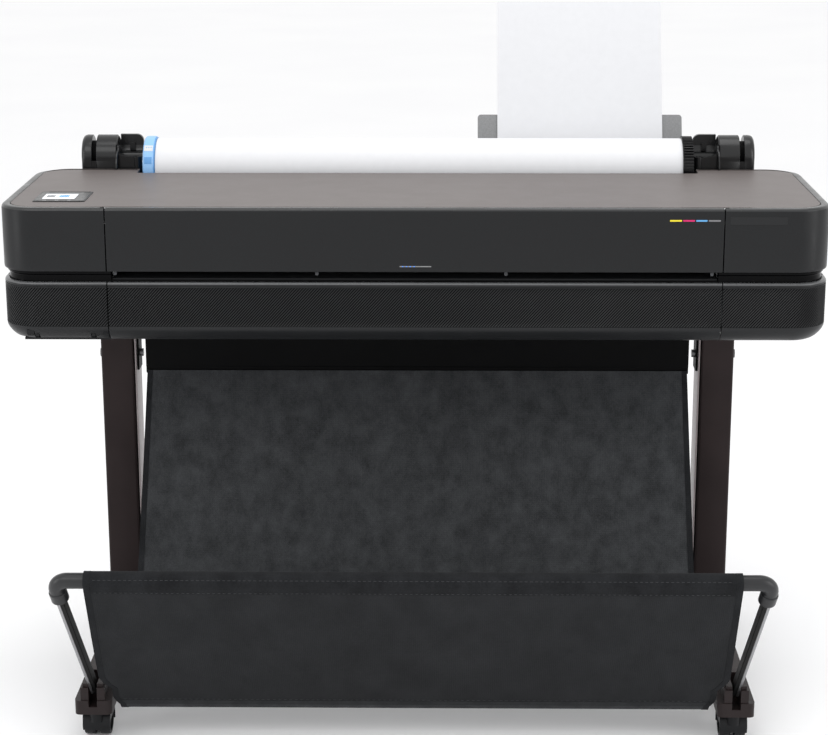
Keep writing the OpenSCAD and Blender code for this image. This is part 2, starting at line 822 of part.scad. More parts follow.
// Capping and wiping station under the parked carriage, with the idler pulley's bracket
module service_station() {
    x = [plate_x + 18, outer_plate_x - 2];
    bracket_y = [belt_y - 11, belt_y - 6.5];
    color([0.20, 0.20, 0.22]) from_front() {
        difference() {
            block(x, [92, 128], [head_bottom + wall, 764]);
            block([x[0] + 12, x[1] - 16], [96, 124], [748, 765]);
        }
        block(x, [45, 92], [740, 764]);
        block([x[0] + 22, x[1] - 26], [98, 122], [747, 766]);
        block([x[1] - 12, x[1]], [110, bracket_y[1]], [763, 767]);
        block([x[1] - 4, x[1]], bracket_y, [763, 850]);
        block([pulley_x - 4, x[1]], bracket_y, [836, 850]);
        bar_y(pulley_x, [bracket_y[0], belt_y + 4], belt_z, 3);
    }
}

// ---------- ink supply and electronics ----------

module ink_bay() {
    width = cartridge_count * cartridge_pitch + 3;
    color([0.15, 0.15, 0.16]) from_front() {
        difference() {
            block([bay_x, bay_x + width], [bay_front, bay_front + cartridge_d + 22],
                [head_bottom + 3, bay_z + cartridge_h + 8]);
            for (i = [0:cartridge_count - 1]) block(
                [bay_x + 3 + i * cartridge_pitch, bay_x + (i + 1) * cartridge_pitch],
                [bay_front - 1, bay_front + cartridge_d + 1], [bay_z - 0.5, bay_z + cartridge_h + 3]);
        }
        block([bay_x, bay_x + width], [door_sill + 8, bay_front + 1],
            [head_bottom + 0.5, head_bottom + 4]);
        for (x = door_lugs) difference() {
            block([-x[1], -x[0]], [door_hinge_y - 4, bay_front + 1],
                [door_hinge_z - 4, door_hinge_z + 5]);
            bar_x([-x[1] - 1, -x[0] + 1], door_hinge_y, door_hinge_z, 1.5 + fit);
        }
    }
}

// One ink cartridge standing in its slot, with a finger rib on its front
module ink_cartridge(i) {
    x = bay_x + 4 + i * cartridge_pitch;
    color([[0.1, 0.1, 0.1], [0.1, 0.5, 0.7], [0.75, 0.1, 0.4], [0.85, 0.75, 0.1]][i]) from_front() {
        block([x, x + cartridge_w], [bay_front, bay_front + cartridge_d],
            [bay_z, bay_z + cartridge_h]);
        block([x + 12, x + 19], [bay_front - 5, bay_front + 1], [bay_z + 8, bay_z + cartridge_h - 8]);
    }
}

module ink_cartridge_1() { ink_cartridge(0); }
module ink_cartridge_2() { ink_cartridge(1); }
module ink_cartridge_3() { ink_cartridge(2); }
module ink_cartridge_4() { ink_cartridge(3); }

module main_board() {
    z = head_bottom + 9;
    color([0.10, 0.35, 0.20]) from_front() {
        block([-190, 120], [336, 408], [z, z + 1.6]);
        for (x = [-180, 110], y = [342, 402]) translate([x, y, head_bottom + wall])
            cylinder(h = 6.5, r = 3);
        for (x = [-60:36:48]) block([x, x + 22], [356, 378], [z + 1.5, z + 5]);
        for (x = port_xs) {
            block([x - 7, x + 7], [400, 408], [z + 1.5, socket_z]);
            block([x - 7, x + 7], [400, head_depth - 1], [socket_z - 6, socket_z + 6]);
        }
    }
}

// Power supply with the mains inlet and the switch housing on its rear face
module power_supply() {
    x = [supply_x - 70, supply_x + 110];
    back = head_depth - wall - 1;
    color([0.66, 0.67, 0.68]) from_front() difference() {
        union() {
            block(x, [336, 408], [head_bottom + wall, 728]);
            block(x, [407, back], [socket_z - 13, 728]);
            block([inlet_x - 15, inlet_x + 15], [back - 1, head_depth], [socket_z - 11,
                socket_z + 11]);
            block([switch_x - 10, switch_x + 10], [back - 1, head_depth], [socket_z - 7,
                socket_z + 7]);
        }
        block([inlet_x - 12, inlet_x + 12], [head_depth - 18, head_depth + 1],
            [socket_z - 8, socket_z + 8]);
        block([switch_x - 8, switch_x + 8], [head_depth - 12, head_depth + 1],
            [socket_z - 5.5, socket_z + 5.5]);
        bar_x([switch_x - 9.5, switch_x + 9.5], head_depth - 4, socket_z, 1.2 + fit);
    }
}

// Rocker of the mains switch
module power_switch() {
    color([0.05, 0.05, 0.05]) from_front() {
        intersection() {
            bar_x([switch_x - 7.5, switch_x + 7.5], head_depth - 4, socket_z, 5.2);
            block([switch_x - 8, switch_x + 8], [head_depth - 10, head_depth + 1.5],
                [socket_z - 5, socket_z + 5]);
        }
        bar_x([switch_x - 9, switch_x + 9], head_depth - 4, socket_z, 1.2);
    }
}

// ---------- roll ----------

// Roll holder: a barrel cut flat in front, cut away over the spindle's seat, on a pedestal
module roll_holder() {
    color([0.07, 0.07, 0.07]) difference() {
        union() {
            intersection() {
                bar_x([holder_in, holder_out], roll_y, roll_z, holder_r);
                block([0, holder_out], [holder_front, roll_y + 60], [deck_z, roll_z + 60]);
            }
            block([holder_in + 2, holder_out], [holder_front, roll_y + 34], [deck_z, roll_z]);
        }
        block([holder_in - 1, 524], [0, roll_y + 34], [roll_z + 22, roll_z + 60]);
        bar_x([holder_in - 1, 568], roll_y, roll_z, rod_d / 2 + fit);
        block([holder_in - 1, 522], [roll_y - rod_d / 2 - fit, roll_y + rod_d / 2 + fit],
            [roll_z, roll_z + 30]);
        difference() {
            block([548.4, 551.6], [0, roll_y + 60], [roll_z + 8, roll_z + 60]);
            bar_x([548, 552], roll_y, roll_z, holder_r - 8);
        }
    }
}

module roll_holder_left() {
    from_front() mirror([1, 0, 0]) roll_holder();
}

module roll_holder_right() {
    from_front() roll_holder();
}

module spindle_rod() {
    color([0.45, 0.45, 0.47]) from_front() difference() {
        bar_x([-566, 566], roll_y, roll_z, rod_d / 2);
        bar_x([-567, 567], roll_y, roll_z, rod_d / 2 - 2);
    }
}

// Round plug that centres the core on the rod, to one side of the roll's end
module hub_plug(x, side) {
    bar_x([min(x, x + side * 30), max(x, x + side * 30)], roll_y, roll_z, core_d / 2);
}

module roll_hub_left() {
    color([0.20, 0.45, 0.75]) from_front() difference() {
        union() {
            bar_x([roll_left - hub_w, roll_left], roll_y, roll_z, roll_d / 2 + 3.5);
            hub_plug(roll_left, 1);
        }
        bar_x([roll_left - hub_w - 1, roll_left + 31], roll_y, roll_z, rod_d / 2);
        for (a = [0:45:315]) translate([0, roll_y, roll_z]) rotate([a, 0, 0])
            bar_x([roll_left - hub_w - 1, roll_left - 4], 0, 34, 8);
    }
}

// Geared hub at the driven end of the spindle
module roll_hub_right() {
    color([0.06, 0.06, 0.06]) from_front() difference() {
        union() {
            translate([0, roll_y, roll_z]) along_x([roll_right + 0.5, roll_right + 1 + gear_w])
                polygon(gear_points(hub_teeth, gear_module, 0));
            bar_x([roll_right, roll_right + 0.6], roll_y, roll_z, roll_d / 2 + 3);
            hub_plug(roll_right, -1);
        }
        bar_x([roll_right - 31, roll_right + gear_w + 2], roll_y, roll_z, rod_d / 2);
    }
}

module media_roll() {
    color([0.96, 0.96, 0.97]) from_front() difference() {
        bar_x([roll_left, roll_right], roll_y, roll_z, roll_d / 2);
        bar_x([roll_left - 1, roll_right + 1], roll_y, roll_z, core_d / 2);
    }
}

module roll_pinion() {
    x = roll_right + 1;
    color([0.75, 0.62, 0.28]) from_front() difference() {
        union() {
            translate([0, roll_pinion_y, roll_pinion_z]) along_x([x, x + gear_w])
                polygon(gear_points(roll_pinion_teeth, gear_module, 0));
            bar_x([x - 1, x + gear_w + 2], roll_pinion_y, roll_pinion_z, 7);
        }
        bar_x([x - 2, x + gear_w + 3], roll_pinion_y, roll_pinion_z, 2.5 + fit);
    }
}

// ---------- sheet feeder ----------

// Leaning frame whose third axis runs up along the loaded sheet
module in_feeder() {
    from_front() translate([0, feed_y, feed_z]) rotate([-lean, 0, 0]) children();
}

feeder_half = support_w / 2 + 12;
feeder_top = 118;
support_top = 209;

// Open-topped chute bolted to the rear cover
module sheet_feeder() {
    color([0.09, 0.09, 0.09]) {
        in_feeder() difference() {
            block([sheet_x - feeder_half, sheet_x + feeder_half], [-13, 16], [-6, feeder_top]);
            block([sheet_x - feeder_half + 4, sheet_x + feeder_half - 4], [-10, 12.5],
                [-2, feeder_top + 1]);
        }
        from_front() for (s = [-1, 1]) difference() {
            block([sheet_x + s * 120 - 25, sheet_x + s * 120 + 25],
                [head_depth, feed_y + 12], [feed_z - 34, feed_z - 3]);
            translate([0, feed_y, feed_z]) rotate([-lean, 0, 0])
                block([0, half_w], [-13, 40], [-6, 40]);
        }
    }
}

// Plate that slides up out of the chute behind the sheet
module sheet_support() {
    color([0.45, 0.46, 0.47]) in_feeder() translate([sheet_x, 8.6, 0]) rotate([90, 0, 0])
        linear_extrude(3) round_rect([-support_w / 2, support_w / 2], [84, support_top], 6);
}

// Side guide that sets the paper's left edge
module sheet_guide() {
    x = sheet_x - sheet_w / 2 - gap;
    color([0.15, 0.15, 0.15]) in_feeder() {
        block([x - 3, x], [-9, 5], [30, 150]);
        block([x - 14, x - 3], [-9.6, -6], [30, 60]);
        block([x - 14, x], [-9, -6], [60, 150]);
    }
}

module paper_sheet() {
    color([0.97, 0.97, 0.98]) in_feeder()
        block([sheet_x - sheet_w / 2, sheet_x + sheet_w / 2],
            [sheet_lift_off, sheet_lift_off + sheet_t], [0, sheet_l]);
}

leg_left();
leg_right();
foot_left();
foot_right();
cross_brace();
stand_bolts();
caster_hood_front_left();
caster_hood_front_right();
caster_hood_rear_left();
caster_hood_rear_right();
caster_wheels_front_left();
caster_wheels_front_right();
caster_wheels_rear_left();
caster_wheels_rear_right();
basket_tube();
basket_arms();
basket_front_cloth();
basket_back_cloth();
chassis();
lower_front_cover();
ink_door();
lower_right_cover();
neck_frame();
left_end_cover();
right_end_cover();
front_window();
top_panel();
display_panel();
rear_cover();
rear_deck();
platen();
feed_roller();
drive_motors();
feed_pinion();
pinch_rollers();
carriage_rail();
carriage();
drive_belt();
drive_pulley();
idler_pulley();
service_station();
ink_bay();
ink_cartridge_1();
ink_cartridge_2();
ink_cartridge_3();
ink_cartridge_4();
main_board();
power_supply();
power_switch();
roll_holder_left();
roll_holder_right();
spindle_rod();
roll_hub_left();
roll_hub_right();
media_roll();
roll_pinion();
sheet_feeder();
sheet_support();
sheet_guide();
paper_sheet();
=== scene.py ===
"""Looks of the large format plotter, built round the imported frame.

Lengths are millimetres. In this script Y is counted from the front face of the head, as in the
part's own source, and place() turns such a point into the row frame in metres.
"""
import math
import random

import bmesh
import bpy
from mathutils import Matrix, Vector


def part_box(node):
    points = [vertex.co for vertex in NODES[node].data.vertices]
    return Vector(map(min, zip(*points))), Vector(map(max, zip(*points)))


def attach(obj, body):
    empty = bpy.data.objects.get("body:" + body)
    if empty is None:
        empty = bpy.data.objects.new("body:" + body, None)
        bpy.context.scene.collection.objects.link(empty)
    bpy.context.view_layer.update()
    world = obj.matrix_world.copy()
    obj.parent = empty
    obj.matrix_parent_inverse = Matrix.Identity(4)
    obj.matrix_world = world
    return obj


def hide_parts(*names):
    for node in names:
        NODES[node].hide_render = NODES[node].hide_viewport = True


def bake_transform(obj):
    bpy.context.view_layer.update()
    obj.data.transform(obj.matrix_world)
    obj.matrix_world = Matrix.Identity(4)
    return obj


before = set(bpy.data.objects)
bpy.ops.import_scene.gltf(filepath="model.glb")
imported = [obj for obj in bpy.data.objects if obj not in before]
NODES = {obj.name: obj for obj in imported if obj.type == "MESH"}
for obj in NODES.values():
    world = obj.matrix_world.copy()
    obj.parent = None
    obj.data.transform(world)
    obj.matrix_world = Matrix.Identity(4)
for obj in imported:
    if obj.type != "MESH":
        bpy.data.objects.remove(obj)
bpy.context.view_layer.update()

MM = 0.001
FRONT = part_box("front_window")[0].y / MM


# ---------------------------------------------------------------- driving sizes

HALF_W = 658.5
PLAN_R = 58.0
SEAM_X = 486.5
SEAM_GAP = 0.9
UPPER_BACK = 382.0
LOWER_BACK = 440.0
PANEL_BACK = 379.0
STEP_BACK = 336.0
HEAD_TOP = 873.0
DECK_Z = 806.0
SIDE_SEAM_Y = 66.0
WINDOW_HINGE = (11.5, 870.5)
WINDOW_ROLL_R = 2.5
DOOR_HINGE = (11.0, 668.0)
DOOR_LUGS = (-515.0, -605.0)
DOOR_SILL = 14.0
RIB_TOP = 745.4
RIB_BOTTOM = 682.4
RIB_PITCH = 4.6
RIB_SHEAR = 0.92
RIB_DEPTH = 1.0
RIB_RUN_OUT = 0.9
RIB_SLAB = 2.4
ROLL_AXIS = (403.0, 873.0)
SPINDLE_R = 12.1
HOLDER_FRONT = 382.5
HOLDER_R = 56.0
HOLDER_MIDDLE = (412.0, 872.0)
CRADLE_X = (484.4, 524.6)
SLOT_X = (561.0, 568.8)
SLOT_END = 886.0
SLOT_RAMP = 4.0
SHEET_X = (142.5, 439.5)
SHEET_LONG = 420.0
FEED_AT = (456.0, 755.0)
FEED_LEAN = 22.7
SIDES = ((-1, "left"), (1, "right"))
INK_SLOTS = ("black", "cyan", "magenta", "yellow")


SLOPE = 0.25
THREAD_PITCH = 1.5


# ---------------------------------------------------------------- mesh helpers

def place(p):
    """A point counted from the head's front face, in mm, as a point of the row frame in metres."""
    return Vector((p[0], p[1] + FRONT, p[2])) * MM


def add_object(name, data):
    """A scene object that holds the given mesh, camera or light."""
    obj = bpy.data.objects.new(name, data)
    bpy.context.scene.collection.objects.link(obj)
    return obj


def add_mesh(name, points, faces, material, sharp=32):
    """A mesh object from points in mm and faces, with smooth shading that breaks at sharp degrees."""
    mesh = bpy.data.meshes.new(name)
    mesh.from_pydata([place(p) for p in points], [], faces)
    obj = add_object(name, mesh)
    mesh.materials.append(material)
    tidy(obj, sharp)
    return obj


def tidy(obj, sharp=32, merge=0.0):
    """Merges doubles, points the normals outwards and sets the smoothing."""
    bm = bmesh.new()
    bm.from_mesh(obj.data)
    if merge:
        bmesh.ops.remove_doubles(bm, verts=bm.verts, dist=merge * MM)
    bmesh.ops.recalc_face_normals(bm, faces=bm.faces)
    bm.to_mesh(obj.data)
    bm.free()
    obj.data.shade_smooth()
    obj.data.set_sharp_from_angle(angle=math.radians(sharp))


def join(name, parts):
    """Joins mesh objects into one, which keeps the first one's materials first."""
    bpy.ops.object.select_all(action="DESELECT")
    for part in parts:
        part.select_set(True)
    bpy.context.view_layer.objects.active = parts[0]
    bpy.ops.object.join()
    parts[0].name = name
    parts[0].data.name = name
    return parts[0]


def bevel(obj, width, segments=2, angle=35):
    """Rounds the sharp edges of an object with a modifier."""
    modifier = obj.modifiers.new("edges", "BEVEL")
    modifier.width = width * MM
    modifier.segments = segments
    modifier.limit_method = "ANGLE"
    modifier.angle_limit = math.radians(angle)
    modifier.use_clamp_overlap = True
    return obj


def apply_modifiers(obj):
    """Replaces the mesh by what its modifiers make of it."""
    graph = bpy.context.evaluated_depsgraph_get()
    mesh = bpy.data.meshes.new_from_object(obj.evaluated_get(graph))
    obj.modifiers.clear()
    obj.data = mesh


def cut(obj, cutter):
    """Cuts the cutter out of the object and removes it."""
    modifier = obj.modifiers.new("cut", "BOOLEAN")
    modifier.operation = "DIFFERENCE"
    modifier.solver = "EXACT"
    modifier.object = cutter
    apply_modifiers(obj)
    bpy.data.objects.remove(cutter)


def loft(name, rings, material, sharp=32):
    """A closed skin over rings of points, each ring a closed loop of the same length."""
    n = len(rings[0])
    points = [p for ring in rings for p in ring]
    faces = []
    for a in range(0, (len(rings) - 1) * n, n):
        faces += [(a + k, a + (k + 1) % n, a + n + (k + 1) % n, a + n + k) for k in range(n)]
    faces.append(tuple(range(n)))
    faces.append(tuple(range(len(points) - n, len(points))))
    return add_mesh(name, points, faces, material, sharp)


def box_mesh(name, x, y, z, material):
    """A box given by its limits."""
    points = [(i, j, k) for i in x for j in y for k in z]
    faces = [(0, 1, 3, 2), (4, 6, 7, 5), (0, 4, 5, 1), (2, 3, 7, 6), (0, 2, 6, 4), (1, 5, 7, 3)]
    return add_mesh(name, points, faces, material)


def revolve_x(name, profile, axis, material, steps=72):
    """Turns a closed profile of (x, radius) round an axis along X that runs through axis = (y, z)."""
    points, faces = [], []
    n = len(profile)
    for i in range(steps):
        turn = 2 * math.pi * i / steps
        points += [(x, axis[0] + r * math.cos(turn), axis[1] + r * math.sin(turn)) for x, r in profile]
        a, b = i * n, (i + 1) % steps * n
        faces += [(a + k, a + (k + 1) % n, b + (k + 1) % n, b + k) for k in range(n)]
    obj = add_mesh(name, points, faces, material)
    tidy(obj, merge=0.001)
    return obj


def rod_x(name, low, high, r, axis, material, steps):
    """A round bar along X from low to high."""
    return revolve_x(name, [(low, 0), (low, r), (high, r), (high, 0)], axis, material, steps)


def prism(name, outline, low, high, material, axis="z", edge=0.0, segments=2):
    """An outline of 2D points drawn out along an axis from low to high, its rim edges rounded."""
    def at(p, h):
        return {"z": (p[0], p[1], h), "x": (h, p[0], p[1]), "y": (p[0], h, p[1])}[axis]
    rings = [[at(p, h) for p in outline] for h in (low, high)]
    obj = loft(name, rings, material)
    return bevel(obj, edge, segments) if edge else obj


def arc(cx, cy, r, start, end, steps):
    """Points of an arc in degrees, ends included."""
    return [(cx + r * math.cos(math.radians(start + (end - start) * i / steps)),
             cy + r * math.sin(math.radians(start + (end - start) * i / steps)))
            for i in range(steps + 1)]


def round_rect(x, y, r, steps=6):
    """Outline of a rectangle with round corners."""
    corners = [(x[1] - r, y[1] - r, 0), (x[0] + r, y[1] - r, 90), (x[0] + r, y[0] + r, 180),
               (x[1] - r, y[0] + r, 270)]
    return [p for cx, cy, a in corners for p in arc(cx, cy, r, a, a + 90, steps)]


def pair(a, b, side):
    """Limits a to b from the middle, on one side of it, lowest first."""
    return tuple(sorted((side * a, side * b)))


def mirrored(obj, name):
    """A copy of the object on the other side of the middle."""
    twin = obj.copy()
    twin.data = obj.data.copy()
    twin.name = name
    bpy.context.scene.collection.objects.link(twin)
    twin.data.transform(Matrix.Scale(-1, 4, (1, 0, 0)))
    twin.data.flip_normals()
    return twin


# ---------------------------------------------------------------- the head's outline

FRONT_RUN = HALF_W - PLAN_R
QUARTER = math.pi / 2 * PLAN_R
CORNER_STEPS = 14
STRAIGHT_STEP = 60.0


def outline_at(s, back):
    """Place and outward direction on the head's outline, at an arc length from the front middle."""
    side = -1 if s < 0 else 1
    s = abs(s)
    side_run = back - 2 * PLAN_R
    if s <= FRONT_RUN:
        x, y, nx, ny = s, 0.0, 0.0, -1.0
    elif s <= FRONT_RUN + QUARTER:
        t = (s - FRONT_RUN) / PLAN_R
        x, y, nx, ny = FRONT_RUN + PLAN_R * math.sin(t), PLAN_R - PLAN_R * math.cos(t), \
            math.sin(t), -math.cos(t)
    elif s <= FRONT_RUN + QUARTER + side_run:
        x, y, nx, ny = HALF_W, PLAN_R + s - FRONT_RUN - QUARTER, 1.0, 0.0
    elif s <= FRONT_RUN + 2 * QUARTER + side_run:
        t = (s - FRONT_RUN - QUARTER - side_run) / PLAN_R
        x, y, nx, ny = FRONT_RUN + PLAN_R * math.cos(t), back - PLAN_R + PLAN_R * math.sin(t), \
            math.cos(t), math.sin(t)
    else:
        x, y, nx, ny = FRONT_RUN - (s - FRONT_RUN - 2 * QUARTER - side_run), back, 0.0, 1.0
    return side * x, y, side * nx, ny


def side_s(y):
    """Arc length at which the outline's side reaches that depth."""
    return FRONT_RUN + QUARTER + y - PLAN_R


def back_s(x, back):
    """Arc length at which the outline's back reaches that distance from the middle."""
    return FRONT_RUN + 2 * QUARTER + back - 2 * PLAN_R + FRONT_RUN - x


def stations(start, end, back):
    """Arc lengths from start to end, close together round the corners."""
    marks = [0.0, FRONT_RUN, FRONT_RUN + QUARTER, FRONT_RUN + QUARTER + back - 2 * PLAN_R,
             FRONT_RUN + 2 * QUARTER + back - 2 * PLAN_R, back_s(0, back)]
    curved = [False, True, False, True, False]
    values = {start, end}
    for sign in (-1, 1):
        for a, b, bent in zip(marks, marks[1:], curved):
            steps = CORNER_STEPS if bent else max(1, int((b - a) / STRAIGHT_STEP))
            values |= {sign * (a + (b - a) * k / steps) for k in range(steps + 1)}
    return sorted(v for v in values if start - 1e-6 <= v <= end + 1e-6)


def sweep(name, start, end, back, profile, material, sharp=32):
    """A closed profile of (inset, z) carried along the head's outline."""
    rings = []
    for s in stations(start, end, back):
        x, y, nx, ny = outline_at(s, back)
        rings.append([(x - nx * inset, y - ny * inset, z) for inset, z in profile])
    return loft(name, rings, material, sharp)


def rib_band(name, start, end, back, material, depth=RIB_DEPTH):
    """Slanting ribs standing out of the wall between two arc lengths, as one closed slab; the faces in the
    grooves between the ribs take a near-black material as painted shade.
    """
    level = 0.5 * (RIB_TOP + RIB_BOTTOM)
    reach = RIB_SHEAR * 0.5 * (RIB_TOP - RIB_BOTTOM)
    columns = int((end - start + 2 * reach) / RIB_PITCH * 4) + 1
    low, high = RIB_BOTTOM + RIB_RUN_OUT, RIB_TOP - RIB_RUN_OUT
    rows = [(RIB_BOTTOM, 0.0), (low, 1.0)]
    rows += [(low + k * (high - low) / 10, 1.0) for k in range(1, 10)]
    rows += [(high, 1.0), (RIB_TOP, 0.0)]
    shape = (0.0, 0.55, 1.0, 0.55)
    points = []
    for i in range(columns + 1):
        ring = [(z, depth * shape[i % 4] * full) for z, full in rows]
        ring += [(RIB_TOP, RIB_SLAB), (RIB_BOTTOM, RIB_SLAB)]
        for z, inset in ring:
            s = start - reach + i * RIB_PITCH / 4 + RIB_SHEAR * (z - level)
            x, y, nx, ny = outline_at(s, back)
            points.append((x - nx * inset, y - ny * inset, z))
    n = len(rows) + 2
    faces = []
    for i in range(columns):
        a, b = i * n, (i + 1) * n
        faces += [(a + k, a + (k + 1) % n, b + (k + 1) % n, b + k) for k in range(n)]
    faces += [tuple(range(n)), tuple(range(columns * n, (columns + 1) * n))]
    band = add_mesh(name, points, faces, material, sharp=60)
    # The groove faces between the ribs take near black as painted shade.
    band.data.materials.append(GROOVE_SHADE)
    for i, polygon in enumerate(band.data.polygons):
        if i < columns * n and i // n % 4 in (1, 2) and i % n < len(rows) - 1:
            polygon.material_index = 1
    return band


def slice_off(obj, point, normal):
    """Cuts away what lies beyond a plane and closes the cut."""
    bm = bmesh.new()
    bm.from_mesh(obj.data)
    geometry = bm.verts[:] + bm.edges[:] + bm.faces[:]
    result = bmesh.ops.bisect_plane(bm, geom=geometry, dist=1e-7, plane_co=place(point),
                                    plane_no=Vector(normal), clear_outer=True)
    rim = [e for e in result["geom_cut"] if isinstance(e, bmesh.types.BMEdge)]
    bmesh.ops.holes_fill(bm, edges=rim, sides=0)
    bm.to_mesh(obj.data)
    bm.free()
    tidy(obj, 60)


def paint_slope_highlight(obj, material, low, high):
    """Gives the upward faces between two heights a second, lighter material: a painted highlight where top
    edges catch the light.
    """
    obj.data.materials.append(material)
    index = len(obj.data.materials) - 1
    for polygon in obj.data.polygons:
        z = polygon.center.z / MM
        if low < z < high and polygon.normal.z > SLOPE:
            polygon.material_index = index


# ---------------------------------------------------------------- materials

def new_material(name, colour, roughness, metallic=0.0, specular=0.5):
    """A material with its constants on the shader, and a texture coordinate node to build on."""
    material = bpy.data.materials.new(name)
    material.use_nodes = True
    tree = material.node_tree
    shader = tree.nodes["Principled BSDF"]
    shader.inputs["Base Color"].default_value = (*colour, 1)
    shader.inputs["Roughness"].default_value = roughness
    shader.inputs["Metallic"].default_value = metallic
    shader.inputs["Specular IOR Level"].default_value = specular
    return material, tree, shader


def scaled(tree, stretch=(1, 1, 1)):
    """Object coordinates, stretched."""
    coordinates = tree.nodes.new("ShaderNodeTexCoord")
    mapping = tree.nodes.new("ShaderNodeMapping")
    mapping.inputs["Scale"].default_value = stretch
    tree.links.new(coordinates.outputs["Object"], mapping.inputs["Vector"])
    return mapping.outputs["Vector"]


def noise(tree, vector, size, detail=2.0, rough=0.5):
    """Noise with features of size mm."""
    node = tree.nodes.new("ShaderNodeTexNoise")
    node.inputs["Scale"].default_value = 1 / (size * MM)
    node.inputs["Detail"].default_value = detail
    node.inputs["Roughness"].default_value = rough
    tree.links.new(vector, node.inputs["Vector"])
    return node.outputs["Fac"]


def ramp(tree, value, stops):
    """A colour ramp with (position, colour) stops."""
    node = tree.nodes.new("ShaderNodeValToRGB")
    elements = node.color_ramp.elements
    while len(elements) < len(stops):
        elements.new(0.5)
    for element, (position, colour) in zip(elements, stops):
        element.position = position
        element.color = (*colour, 1)
    tree.links.new(value, node.inputs["Fac"])
    return node.outputs["Color"]


def spread(tree, value, low, high):
    """A noise value moved to run from low to high."""
    node = tree.nodes.new("ShaderNodeMapRange")
    node.inputs["From Min"].default_value = 0.3
    node.inputs["From Max"].default_value = 0.7
    node.inputs["To Min"].default_value = low
    node.inputs["To Max"].default_value = high
    tree.links.new(value, node.inputs["Value"])
    return node.outputs["Result"]


def add_bump(tree, shader, height, depth, strength=1.0):
    """Bump from a height value, depth in mm."""
    node = tree.nodes.new("ShaderNodeBump")
    node.inputs["Distance"].default_value = depth * MM
    node.inputs["Strength"].default_value = strength
    tree.links.new(height, node.inputs["Height"])
    tree.links.new(node.outputs["Normal"], shader.inputs["Normal"])
    return node


def tint(tree, shader, value, colour, dark, light):
    """Lets a noise value vary the base colour between two multiples of it."""
    stops = [(place_on_ramp, tuple(min(1.0, c * factor) for c in colour))
             for place_on_ramp, factor in ((0.3, dark), (0.7, light))]
    tree.links.new(ramp(tree, value, stops), shader.inputs["Base Color"])


def uneven_gloss(tree, shader, value, low, high):
    """Lets a noise value vary the roughness from low to high."""
    tree.links.new(spread(tree, value, low, high), shader.inputs["Roughness"])


def plastic(name, colour, roughness, grain=1.6, depth=0.03, contrast=0.10, specular=0.5, gloss=0.06):
    """Moulded plastic: fine spark-eroded grain, faint colour flecks and uneven gloss."""
    material, tree, shader = new_material(name, colour, roughness, specular=specular)
    vector = scaled(tree)
    tint(tree, shader, noise(tree, vector, grain, 3.0, 0.6), colour, 1 - contrast, 1 + contrast)
    uneven_gloss(tree, shader, noise(tree, vector, 45.0), roughness - gloss, roughness + gloss)
    add_bump(tree, shader, noise(tree, vector, grain * 0.45), depth)
    return material


def metal(name, colour, roughness, brushed=(1, 1, 1), depth=0.01):
    """Metal with a drawn or brushed grain, stretched along the axes that brushed makes small."""
    material, tree, shader = new_material(name, colour, roughness, metallic=1.0)
    streak = noise(tree, scaled(tree, brushed), 0.8, 3.0, 0.6)
    tint(tree, shader, streak, colour, 0.86, 1.1)
    uneven_gloss(tree, shader, noise(tree, scaled(tree), 20.0), roughness - 0.05, roughness + 0.08)
    add_bump(tree, shader, streak, depth)
    return material


def paint(name, colour, roughness, depth=0.04, specular=0.5):
    """Powder-coated steel: a fine orange-peel surface with slight cloudiness."""
    material, tree, shader = new_material(name, colour, roughness, specular=specular)
    vector = scaled(tree)
    tint(tree, shader, noise(tree, vector, 90.0, 3.0), colour, 0.85, 1.15)
    uneven_gloss(tree, shader, noise(tree, vector, 8.0), roughness - 0.05, roughness + 0.05)
    add_bump(tree, shader, noise(tree, vector, 1.4), depth)
    return material


def arithmetic(tree, operation, *values):
    """A node that works on values, each a number or another node's output."""
    node = tree.nodes.new("ShaderNodeMath")
    node.operation = operation
    for slot, value in zip(node.inputs, values):
        if isinstance(value, float):
            slot.default_value = value
        else:
            tree.links.new(value, slot)
    return node.outputs[0]


def fabric(name, dark, light, mottle=26.0):
    """Coarse sling cloth: crossed threads, a worn mottle over them and a faint sheen."""
    material, tree, shader = new_material(name, light, 0.95, specular=0.08)
    shader.inputs["Sheen Weight"].default_value = 0.02
    shader.inputs["Sheen Roughness"].default_value = 0.6
    vector = scaled(tree)
    waves = []
    for direction in ("X", "Z"):
        wave = tree.nodes.new("ShaderNodeTexWave")
        wave.bands_direction = direction
        wave.inputs["Scale"].default_value = 0.157 / (THREAD_PITCH * MM)
        wave.inputs["Distortion"].default_value = 0.6
        wave.inputs["Detail"].default_value = 1.0
        tree.links.new(vector, wave.inputs["Vector"])
        waves.append(wave.outputs["Fac"])
    cloud = noise(tree, scaled(tree, (1, 1, 0.6)), mottle, 6.0, 0.62)
    fleck = noise(tree, vector, 2.2, 2.0, 0.6)
    blend = arithmetic(tree, "MULTIPLY_ADD", fleck, 0.35, arithmetic(tree, "MULTIPLY", cloud, 0.65))
    tree.links.new(ramp(tree, blend, [(0.36, dark), (0.66, light)]), shader.inputs["Base Color"])
    add_bump(tree, shader, arithmetic(tree, "MULTIPLY", *waves), 0.35, 0.6)
    return material


def paper(name, colour, roughness=0.75):
    """Coated paper: almost flat, with faint fibre."""
    material, tree, shader = new_material(name, colour, roughness, specular=0.3)
    vector = scaled(tree)
    tint(tree, shader, noise(tree, vector, 14.0, 4.0), colour, 0.975, 1.0)
    add_bump(tree, shader, noise(tree, vector, 0.9), 0.02)
    return material


def glass_black(name):
    """Dark cover glass with a clear hard gloss."""
    material, tree, shader = new_material(name, (0.018, 0.019, 0.020), 0.22, specular=0.18)
    uneven_gloss(tree, shader, noise(tree, scaled(tree), 12.0), 0.18, 0.28)
    return material


def lit(name, colour, strength):
    """A lit area of the display."""
    material, tree, shader = new_material(name, colour, 0.4)
    shader.inputs["Emission Color"].default_value = (*colour, 1)
    shader.inputs["Emission Strength"].default_value = strength
    uneven_gloss(tree, shader, noise(tree, scaled(tree), 6.0), 0.35, 0.45)
    return material


